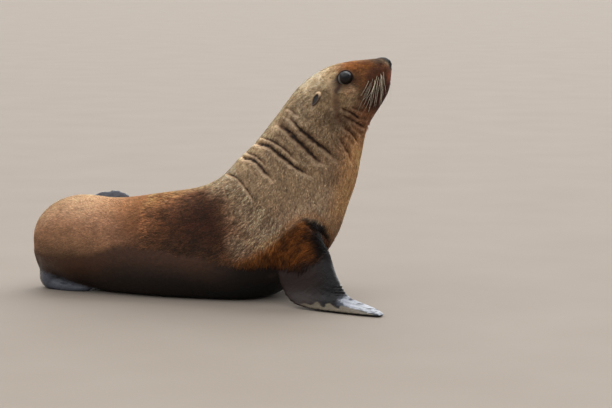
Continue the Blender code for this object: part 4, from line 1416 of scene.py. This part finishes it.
# How much thinner the coat is on the flippers and the face, and where along the head and up the face starts.
LIMBS_THIN, FACE_THIN, FACE_START, FACE_HEIGHT = 0.8, 0.75, (-0.02, 0.03), (0.49, 0.52)


def bare_form(settings):
    """The flesh as one smooth mesh, set inside the coat's surface. The flippers stay crisp, and the head and
    the tail nearly so."""
    mesh = remeshed(merged_flesh(settings.overlap), settings.voxel)
    drop_crumbs(mesh)
    hide = Hide(mesh)
    limbs = node_shares(hide.points, FLIPPERS)
    ends = node_shares(hide.points, ("head", "tail"))
    softness = hide.blurred(1 - LIMBS_CRISP * limbs - ENDS_CRISP * ends, 10)
    hide.relax(0.7 * softness, SMOOTHING_ROUNDS)
    flatten_ears(hide)
    bare = hide.blurred(limbs, 8)
    face = smooth(in_head(hide.points)[:, 0], *FACE_START) * smooth(hide.points[:, 2], *FACE_HEIGHT)
    depth = settings.coat_depth * (1 - LIMBS_THIN * bare) * (1 - FACE_THIN * face)
    hide.points -= hide.normals * depth[:, None]
    hide.settle()
    return hide, limbs


def cut_fine(hide, limbs, folds):
    """Refines the face, the blades' upper sides and the folds once, and the muzzle's front, the eyes and the
    deep folds once more."""
    mesh = hide.mesh
    ahead, below, facing = BLADE_TOPS
    low = (hide.points[:, 0] > ahead) & (hide.points[:, 2] < below)
    blade_tops = (limbs > 0.5) & low & (hide.normals[:, 2] > facing)
    centre, radius = FINE_HEAD
    face = np.linalg.norm(in_head(hide.points) * (1, 1, 0.9) - centre, axis=1) < radius
    refine(mesh, face | blade_tops | (fold_gap(hide.points, folds) < FINE_BESIDE_FOLDS))
    hide = Hide(mesh)
    head = in_head(hide.points)
    finest = (head[:, 0] > MUZZLE_FRONT[0]) & (head[:, 2] > MUZZLE_FRONT[1])
    deep = [placed for placed in folds if placed[0].dark >= DEEP_FOLD]
    finest |= fold_gap(hide.points, deep) < FINEST_BESIDE_FOLDS
    for eye in EYES:
        finest |= np.linalg.norm(hide.points - middle(eye), axis=1) < FINEST_ROUND_EYES
    refine(mesh, finest)
    return Hide(mesh)


def whisker_roots(tree):
    """Where the whiskers leave the skin and the skin's normals there, the right side's first."""
    spots = [(forward, side * MUZZLE_SIDE, up) for side in (-1, 1) for forward, up, _ in WHISKERS]
    return [tree.find_nearest(Vector(from_head(spot)))[:2] for spot in spots]


# What is known at each point of the skin when its colour and gloss are worked out.
Looks = namedtuple("Looks", "limbs bare blades nose_pad dark furrow")


def made_skin(settings):
    """The skin's mesh: flesh, joined, smoothed, set inside the coat, refined and pressed with its folds."""
    hide, limbs = bare_form(settings)
    folds = placed_folds()
    hide = cut_fine(hide, limbs, folds)
    limbs = node_shares(hide.points, FLIPPERS)
    bare = hide.blurred(limbs, 8)
    hide.relax(0.5 * (1 - 0.8 * bare), 3)
    blades = blades_of(hide, limbs)
    shape_blades(hide, blades)
    dark = np.zeros(len(hide.points))
    furrow = np.zeros(len(hide.points))
    tree = skin_tree(hide)
    for fold, path in folds:
        press(hide, fold, path, dark, furrow, tree)
    hide.settle()
    nose_pad = nose_share(hide.points)
    hide.points += hide.normals * (NOSE_PAD_RISE * smooth(nose_pad, 0.2, 0.9))[:, None]
    for eye in EYES:
        near, beyond = lids(hide, eye, settings)
        dark[near] = np.maximum(dark[near], 0.85 * bell(beyond, 0, 5))
    hide.settle()
    pits = nearby([place for place, _ in whisker_roots(tree)])
    gaps = np.array([pits.find(point)[2] for point in hide.points])
    dark = np.maximum(dark, 0.6 * bell(gaps, 0, WHISKER_PIT))
    finish_skin(hide, Looks(limbs, bare, blades, nose_pad, dark, furrow))
    hide.mesh.name = SKIN
    return hide.mesh


def finish_skin(hide, looks):
    """Stores the skin's colour, gloss and lie, and where it is wet, bare or creased."""
    inside = soaked(hide.points)
    tones = tone(hide.points, looks.bare, smooth(looks.limbs, 0.3, 0.7))
    wet = np.maximum(wetness(hide.points), inside)
    rough = DRY_ROUGH - WET_GLOSS * smooth(wet, *GLOSS_EDGE) - BARE_GLOSS * looks.bare
    rough += SOAKED_MATT * smooth(inside, *GLOSS_EDGE)
    rough += (ARMPIT_ROUGH - rough) * armpit(hide.points)
    mark_blades(tones, rough, hide, looks.blades)
    tones = mixed(tones, NOSE_PAD_TONE, looks.nose_pad)
    rough += (NOSE_ROUGH - rough) * looks.nose_pad
    # Painted shade in the folds; the lids' rims and the whiskers' roots are darkened the same way.
    crease = mixed(CREASE_SHADE_EDGE, CREASE_SHADE_HEART, smooth(looks.dark, 0.35, 0.95))
    tones = mixed(tones, crease, 0.97 * smooth(looks.dark, 0.0, 0.85))
    creased = hide.blurred(np.maximum(looks.furrow, looks.dark), 2)
    combed, _ = straightened(hide.points)
    set_attribute(hide.mesh, "tone", "FLOAT_COLOR", tones.clip(0, 1))
    set_attribute(hide.mesh, "combed", "FLOAT_VECTOR", combed)
    set_attribute(hide.mesh, "rough", "FLOAT", rough)
    set_attribute(hide.mesh, "wet", "FLOAT", wet)
    set_attribute(hide.mesh, "furrow", "FLOAT", (1.4 * creased).clip(0, 1))
    set_attribute(hide.mesh, "bare", "FLOAT", np.maximum(looks.bare, looks.nose_pad))


class SEALION_OT_skin(bpy.types.Operator):
    """Makes one skin for all the flesh, with its folds, lids, mouth and nostrils"""

    bl_idname = "sealion.skin"
    bl_label = "Skin"

    def execute(self, context):
        mesh = made_skin(context.scene.sea_lion_skin)
        piece = in_scene(mesh, SKIN, hide_material(), FLESH)
        unwrapped(piece)
        return {"FINISHED"}


# The cornea stands out from the ball by this share, fully to the first angle off the gaze and not at all past
# the second.
CORNEA_RISE = 0.06
CORNEA_EDGE = (20, 46)
# The iris sits a little forward of the lids' opening and lower, so that a strip of white shows behind.
IRIS_FORWARD, IRIS_DOWN = 0.15, 0.09


def eyeball(eye, radius):
    """One eyeball's mesh, with each point's angle off the iris's middle, in degrees."""
    ball = bmesh.new()
    bmesh.ops.create_uvsphere(ball, u_segments=64, v_segments=48, radius=radius)
    gaze = gaze_of(eye)
    turn = Vector(UP).rotation_difference(Vector(gaze)).to_matrix()
    bmesh.ops.rotate(ball, verts=ball.verts, cent=(0, 0, 0), matrix=turn)
    for vert in ball.verts:
        angle = np.degrees(vert.co.angle(Vector(gaze)))
        vert.co *= 1 + CORNEA_RISE * float(1 - smooth(angle, *CORNEA_EDGE))
    bmesh.ops.translate(ball, verts=ball.verts, vec=middle(eye))
    mesh = bpy.data.meshes.new(eye + "ball")
    ball.to_mesh(mesh)
    ball.free()
    iris = unit(gaze + HEAD_FORWARD * IRIS_FORWARD - UP * IRIS_DOWN)
    ways = unit(Hide(mesh).points - middle(eye))
    angles = np.degrees(np.arccos(np.clip(ways @ iris, -1, 1)))
    # No white shows above: the upper lid covers it.
    set_attribute(mesh, "gaze", "FLOAT", angles - 12 * smooth(ways[:, 2], 0.0, 0.6))
    return mesh


class SEALION_OT_eyes(bpy.types.Operator):
    """Makes the two eyeballs, each with the bulge of its cornea"""

    bl_idname = "sealion.eyes"
    bl_label = "Eyes"

    def execute(self, context):
        radius = context.scene.sea_lion_skin.eye_radius
        material = eye_material()
        for eye in EYES:
            in_scene(eyeball(eye, radius), eye + "ball", material, (eye,))
        return {"FINISHED"}


# One ear's root and tip on the head, how far they stand off the skin, and its half width and half thickness.
EAR_LINE = ((0.3005, -0.1270, 0.5430), (0.2865, -0.1405, 0.5060))
EAR_ROOT_GAP, EAR_TIP_GAP = 0.0005, 0.0030
EAR_HALF_WIDTH = 0.0088
EAR_HALF_THICKNESS = 0.0052
EAR_BOW = 0.0012  # how far its middle stands out before its edges
# The hollow of its outer face, in shares of its half length and half width: where its middle lies, and half
# sizes.
EAR_HOLLOW = ((0.14, -0.12), (0.80, 0.74))
EAR_RIM = (0.70, 1.05)  # in those half sizes, where its rim starts and where it ends
EAR_HOLLOWING = 1.15  # how far the face sinks, as a share of its rise
EAR_TAPER = 0.30  # how much narrower the tip is
# The ear's skin, the painted highlight along its top and the painted shade in its hollow.
EAR_SKIN, EAR_TOP_HIGHLIGHT, EAR_HOLLOW_SHADE = linear("#4d3a2a"), linear("#d3b18a"), linear("#17110d")


def pinna(ear, tree):
    """One ear flap: a drop that hangs back and down from its root, hollowed on its outer face."""
    line = np.array(EAR_LINE) if ear == EARS[0] else mirrored(EAR_LINE)
    hits = [tree.find_nearest(Vector(point)) for point in line]
    outward = unit(np.array(hits[0][1]) + np.array(hits[1][1]))
    root = np.array(hits[0][0]) + outward * EAR_ROOT_GAP
    tip = np.array(hits[1][0]) + outward * EAR_TIP_GAP
    down = unit(tip - root)
    outward = unit(outward - down * (outward @ down))
    ahead = np.cross(down, outward)
    ahead *= np.sign(ahead @ HEAD_FORWARD)
    leaf = bmesh.new()
    bmesh.ops.create_uvsphere(leaf, u_segments=48, v_segments=36, radius=1.0)
    hollow = np.zeros(len(leaf.verts))
    centre, halves = EAR_HOLLOW
    for index, vert in enumerate(leaf.verts):
        along, across, rise = vert.co.z, vert.co.x, vert.co.y
        inner = np.hypot((along - centre[0]) / halves[0], (across - centre[1]) / halves[1])
        hollow[index] = (1 - smooth(inner, *EAR_RIM)) * smooth(rise, 0.0, 0.2)
        rise -= EAR_HOLLOWING * hollow[index] * rise
        width = EAR_HALF_WIDTH * across * (1 - EAR_TAPER * along)
        spot = (root + tip) / 2 + down * (along * np.linalg.norm(tip - root) / 2) + ahead * width
        vert.co = Vector(spot + outward * (rise * EAR_HALF_THICKNESS + EAR_BOW * (1 - across * across)))
    bmesh.ops.recalc_face_normals(leaf, faces=leaf.faces)
    mesh = bpy.data.meshes.new(ear + "_flap")
    leaf.to_mesh(mesh)
    leaf.free()
    return mesh, hollow


class SEALION_OT_ears(bpy.types.Operator):
    """Makes the two hollow ear flaps"""

    bl_idname = "sealion.ears"
    bl_label = "Ears"

    def execute(self, context):
        material = coat_material("ear_flap_hair", 0.7, 0.10)
        tree = skin_tree(Hide(bpy.data.objects[SKIN].data))
        for ear in EARS:
            mesh, hollow = pinna(ear, tree)
            points = Hide(mesh).points
            low, high = points[:, 2].min(), points[:, 2].max()
            # A painted highlight toward the top and painted shade in the hollow.
            tones = mixed(EAR_SKIN, EAR_TOP_HIGHLIGHT, smooth((points[:, 2] - low) / (high - low), 0.55, 0.95))
            tones = mixed(tones, EAR_HOLLOW_SHADE, smooth(hollow, 0.10, 0.5))
            tones = tones * (1 + 0.25 * wander(points, 0.003))[:, None]
            set_attribute(mesh, "tone", "FLOAT_COLOR", tones.clip(0, 1))
            in_scene(mesh, ear + "_flap", material, (ear,))
        return {"FINISHED"}


def beside_ears(points):
    """How far points lie from the ears' lines."""
    gap = np.full(len(points), np.inf)
    for line in (np.array(EAR_LINE), mirrored(EAR_LINE)):
        step = line[1] - line[0]
        share = np.clip((points - line[0]) @ step / (step @ step), 0, 1)
        gap = np.minimum(gap, np.linalg.norm(points - line[0] - share[:, None] * step, axis=1))
    return gap


# A piece of the dry coat: its name, where it starts and ends along the core, its locks' length, width and
# density as shares of the trunk's, and how much their shades differ.
Stretch = namedtuple("Stretch", "name start end length width density fleck")
STRETCHES = (
    Stretch("coat_head", -0.10, 0.20, 0.50, 0.60, 1.7, 0.64),
    Stretch("coat_neck", 0.20, 0.34, 0.80, 0.80, 1.2, 0.48),
    Stretch("coat_shoulders", 0.34, 0.50, 0.9, 0.85, 1.1, 0.38),
    Stretch("coat_back", 0.50, 0.68, 0.9, 0.90, 1.1, 0.80),
    Stretch("coat_loin", 0.68, 0.88, 0.9, 0.90, 1.1, 0.78),
    Stretch("coat_rump", 0.88, 1.60, 0.75, 0.9, 1.10, 0.26),
)


# How steeply locks rise and how pale their roots and tips are, dry and soaked.
DRY_LIFT, SOAKED_LIFT = 0.10, 0.06
DRY_ENDS, SOAKED_ENDS = (0.94, 1.36), (0.85, 0.95)
SOAKED_FLECK = 0.40
MUZZLE_THINNING = 0.60  # the coat of the muzzle has this much less hair
MUZZLE_START, MUZZLE_HEIGHT = (0.05, 0.09), (0.42, 0.46)  # forward from the eyes and above the floor
CLEAR_OF_EYES = (0.0235, 0.0275)  # from the eyes' middles, where the coat starts and where it is full
CLEAR_OF_EARS = (0.006, 0.009)


def coat_share():
    return 1.0


def uneven(lengths, rng, count):
    """Lengths that differ from lock to lock."""
    return lengths * (0.7 + 0.6 * rng.random(count))


def dry_share(skin):
    """1 where the skin carries the dry coat."""
    mesh = skin.data
    points = Hide(mesh).points
    dry = 1 - smooth(stored(mesh, "wet"), -0.010, 0.010)
    dry *= 1 - smooth(stored(mesh, "bare"), 0.1, 0.5)
    dry *= 1 - 0.95 * stored(mesh, "furrow")
    for eye in EYES:
        dry *= smooth(np.linalg.norm(points - middle(eye), axis=1), *CLEAR_OF_EYES)
    dry *= smooth(beside_ears(points), *CLEAR_OF_EARS)
    muzzle = smooth(in_head(points)[:, 0], *MUZZLE_START) * smooth(points[:, 2], *MUZZLE_HEIGHT)
    return dry * (1 - MUZZLE_THINNING * muzzle)


class SEALION_OT_coat(bpy.types.Operator):
    """Makes the dry coat: short locks over the trunk, neck and head"""

    bl_idname = "sealion.coat"
    bl_label = "Coat"

    def execute(self, context):
        settings = context.scene.sea_lion_coat
        skin = bpy.data.objects[SKIN]
        material = coat_material("dry_guard_hair", 0.82, 0.12, 0.22)
        along = stored(skin.data, "combed", 3)[:, 0]
        dry = dry_share(skin)
        for number, stretch in enumerate(STRETCHES):
            inside = ((along >= stretch.start) & (along < stretch.end)).astype(float)
            density = dry * inside * settings.density * stretch.density * coat_share()
            roots, rng = scattered(skin, density, SEED + number)
            lengths = uneven(settings.length * stretch.length, rng, len(roots.points))
            mesh = combed_locks(stretch.name, roots, rng, lengths, settings.width * stretch.width, DRY_LIFT,
                                stretch.fleck, DRY_ENDS)
            in_scene(mesh, stretch.name, material)
        return {"FINISHED"}


class SEALION_OT_shoulder_hair(bpy.types.Operator):
    """Makes the soaked, wavy brown hair of the shoulders"""

    bl_idname = "sealion.shoulder_hair"
    bl_label = "Shoulder hair"

    def execute(self, context):
        settings = context.scene.sea_lion_coat
        skin = bpy.data.objects[SKIN]
        material = coat_material("soaked_guard_hair", 0.65, 0.0, 0.15)
        inside = smooth(soaked(Hide(skin.data).points), -0.001, 0.004)
        roots, rng = scattered(skin, inside * settings.soaked_density * coat_share(), SEED + 31)
        lengths = uneven(settings.soaked_length, rng, len(roots.points))
        mesh = combed_locks("shoulder_hair", roots, rng, lengths, settings.width, SOAKED_LIFT, SOAKED_FLECK,
                            SOAKED_ENDS, rings=3, wave=0.05, swing=0.14)
        in_scene(mesh, "shoulder_hair", material)
        return {"FINISHED"}


# How whiskers leave the lip and how they hang at their tips: outward, back with their lean, and down.
WHISKER_START = (0.60, 0.6, 0.8)
WHISKER_END = (0.05, 1.2, 1.0)
# How far whiskers lean back at the most, how that grows with the distance back from the front of the lip,
# and how much it differs.
MOST_LEAN, LEAN_GROWTH, LIP_FRONT, LEAN_SPREAD = 0.62, 15.0, 0.1045, 0.07
WHISKER_SWAY = 0.10
WHISKER_RINGS = 10
WHISKER_SINK = 0.002  # how deep its root lies in the skin
WHISKER_SHADES = (1.1, 0.45)  # of the pale ones and of the dark ones
PALE_WHISKERS = 0.7  # the share of the whiskers that are pale


def whisker_path(start, out, forward, length, rng):
    """One whisker's points from its root to its tip, and its first direction. Those nearer the nose lean
    back less."""
    share = np.linspace(0, 1, WHISKER_RINGS + 1)
    lean = min(MOST_LEAN, LEAN_GROWTH * (LIP_FRONT - forward)) + LEAN_SPREAD * rng.standard_normal()
    first, last = (
        unit(out * outward - HEAD_FORWARD * lean * back - UP * down)
        for outward, back, down in (WHISKER_START, WHISKER_END)
    )
    waves = 0.7 + 0.5 * rng.random()
    phase = 6.3 * rng.random()
    sway = WHISKER_SWAY * np.sin(share * FULL_TURN * waves + phase)
    steps = first + (last - first) * (share[:, None] ** 0.6) + HEAD_FORWARD * sway[:, None]
    steps = unit(steps) * length / WHISKER_RINGS
    bends = np.concatenate((np.zeros((1, 3)), np.cumsum(steps[:-1], axis=0)))
    return start - out * WHISKER_SINK + bends, first


class SEALION_OT_whiskers(bpy.types.Operator):
    """Makes the whiskers, which droop back and down from rows on the upper lip"""

    bl_idname = "sealion.whiskers"
    bl_label = "Whiskers"

    def execute(self, context):
        settings = context.scene.sea_lion_whiskers
        tree = skin_tree(Hide(bpy.data.objects[SKIN].data))
        rng = np.random.default_rng(SEED + 50)
        paths, across, outward = [], [], []
        for (start, out), (forward, _, reach) in zip(whisker_roots(tree), WHISKERS * 2):
            start, out = np.array(start), np.array(out)
            length = settings.length * reach * (0.8 + 0.3 * rng.random())
            path, first = whisker_path(start, out, forward, length, rng)
            paths.append(path)
            across.append(unit(np.cross(first, out)))
            outward.append(out)
        count = len(paths)
        body = np.linspace(0, 1, WHISKER_RINGS + 1)[:-1]
        widths = settings.width * np.repeat((1 - body * 0.7)[None], count, 0)
        shades = np.where(rng.random(count) < PALE_WHISKERS, *WHISKER_SHADES)
        tones = np.array(settings.colour) * shades[:, None, None] * np.ones((1, WHISKER_RINGS + 1, 1))
        mesh = strands("whiskers", np.array(paths), np.array(across), np.array(outward), widths,
                       widths * 0.87, tones, np.full((count, 2), 0.5))
        in_scene(mesh, "whiskers", coat_material("whisker_keratin", 0.35, 0.0))
        return {"FINISHED"}


def soft_light(name, direction, energy, angle):
    """A wide, even light that comes from a direction."""
    light = bpy.data.lights.new(name, "SUN")
    light.energy = energy
    light.angle = angle
    lamp = bpy.data.objects.new(name, light)
    lamp.rotation_euler = Vector(direction).to_track_quat("Z", "Y").to_euler()
    bpy.context.scene.collection.objects.link(lamp)


OVERHEAD_LIGHT = (-0.15, -0.30, 1.0)
BACK_LIGHT = (0.12, 1.0, 0.60)
CAMERA_PLACE = (1.7245, -5.5750, 0.9039)
CAMERA_TARGET = (0.2461, BODY_MIDDLE_Y, 0.2450)
SENSOR_WIDTH = 36.0  # millimetres
FLOOR_HALF = 80.0  # metres, far enough for its edge to meet the sky
SKY = linear("#e6eaf0")


class SEALION_OT_stage(bpy.types.Operator):
    """Makes the floor, the soft light and the camera"""

    bl_idname = "sealion.stage"
    bl_label = "Stage"

    def execute(self, context):
        settings = context.scene.sea_lion_stage
        ground = bmesh.new()
        bmesh.ops.create_grid(ground, x_segments=1, y_segments=1, size=FLOOR_HALF)
        mesh = bpy.data.meshes.new("floor")
        ground.to_mesh(mesh)
        ground.free()
        floor = bpy.data.objects.new("floor", mesh)
        mesh.materials.append(floor_material())
        context.scene.collection.objects.link(floor)
        soft_light("overhead light", OVERHEAD_LIGHT, settings.overhead_strength, settings.overhead_spread)
        soft_light("back light", BACK_LIGHT, settings.back_strength, settings.back_spread)
        world = bpy.data.worlds.new("soft studio")
        world.use_nodes = True
        background = world.node_tree.nodes["Background"]
        background.inputs["Color"].default_value = rgba(SKY)
        background.inputs["Strength"].default_value = settings.fill_strength
        context.scene.world = world
        context.scene.view_settings.view_transform = "Standard"
        camera = bpy.data.objects.new("camera", bpy.data.cameras.new("camera"))
        camera.data.lens = settings.focal_length
        camera.data.sensor_width = SENSOR_WIDTH
        camera.location = CAMERA_PLACE
        back = Vector(CAMERA_PLACE) - Vector(CAMERA_TARGET)
        camera.rotation_euler = back.to_track_quat("Z", "Y").to_euler()
        context.scene.collection.objects.link(camera)
        context.scene.camera = camera
        return {"FINISHED"}


OPERATORS = (
    SEALION_OT_skin,
    SEALION_OT_eyes,
    SEALION_OT_ears,
    SEALION_OT_coat,
    SEALION_OT_shoulder_hair,
    SEALION_OT_whiskers,
    SEALION_OT_stage,
)


class SEALION_PT_pieces(bpy.types.Panel):
    """Lists the pieces of the sea lion"""

    bl_idname = "SEALION_PT_pieces"
    bl_label = "Sea lion"
    bl_space_type = "VIEW_3D"
    bl_region_type = "UI"
    bl_category = "Sea lion"

    def draw(self, context):
        for operator in OPERATORS:
            self.layout.operator(operator.bl_idname)


SETTINGS = {
    "sea_lion_skin": SkinSettings,
    "sea_lion_coat": CoatSettings,
    "sea_lion_whiskers": WhiskerSettings,
    "sea_lion_stage": StageSettings,
}


def register():
    """Adds the settings, the operators and the panel."""
    for group in SETTINGS.values():
        bpy.utils.register_class(group)
    for name, group in SETTINGS.items():
        setattr(bpy.types.Scene, name, PointerProperty(type=group))
    for kind in OPERATORS + (SEALION_PT_pieces,):
        bpy.utils.register_class(kind)


def unregister():
    """Takes the panel, the operators and the settings away again."""
    for kind in reversed(OPERATORS + (SEALION_PT_pieces,)):
        bpy.utils.unregister_class(kind)
    for name, group in SETTINGS.items():
        delattr(bpy.types.Scene, name)
        bpy.utils.unregister_class(group)


def main():
    """Builds every piece in order."""
    register()
    for operator in OPERATORS:
        getattr(bpy.ops.sealion, operator.bl_idname.split(".")[1])()


if __name__ == "__main__":
    main()
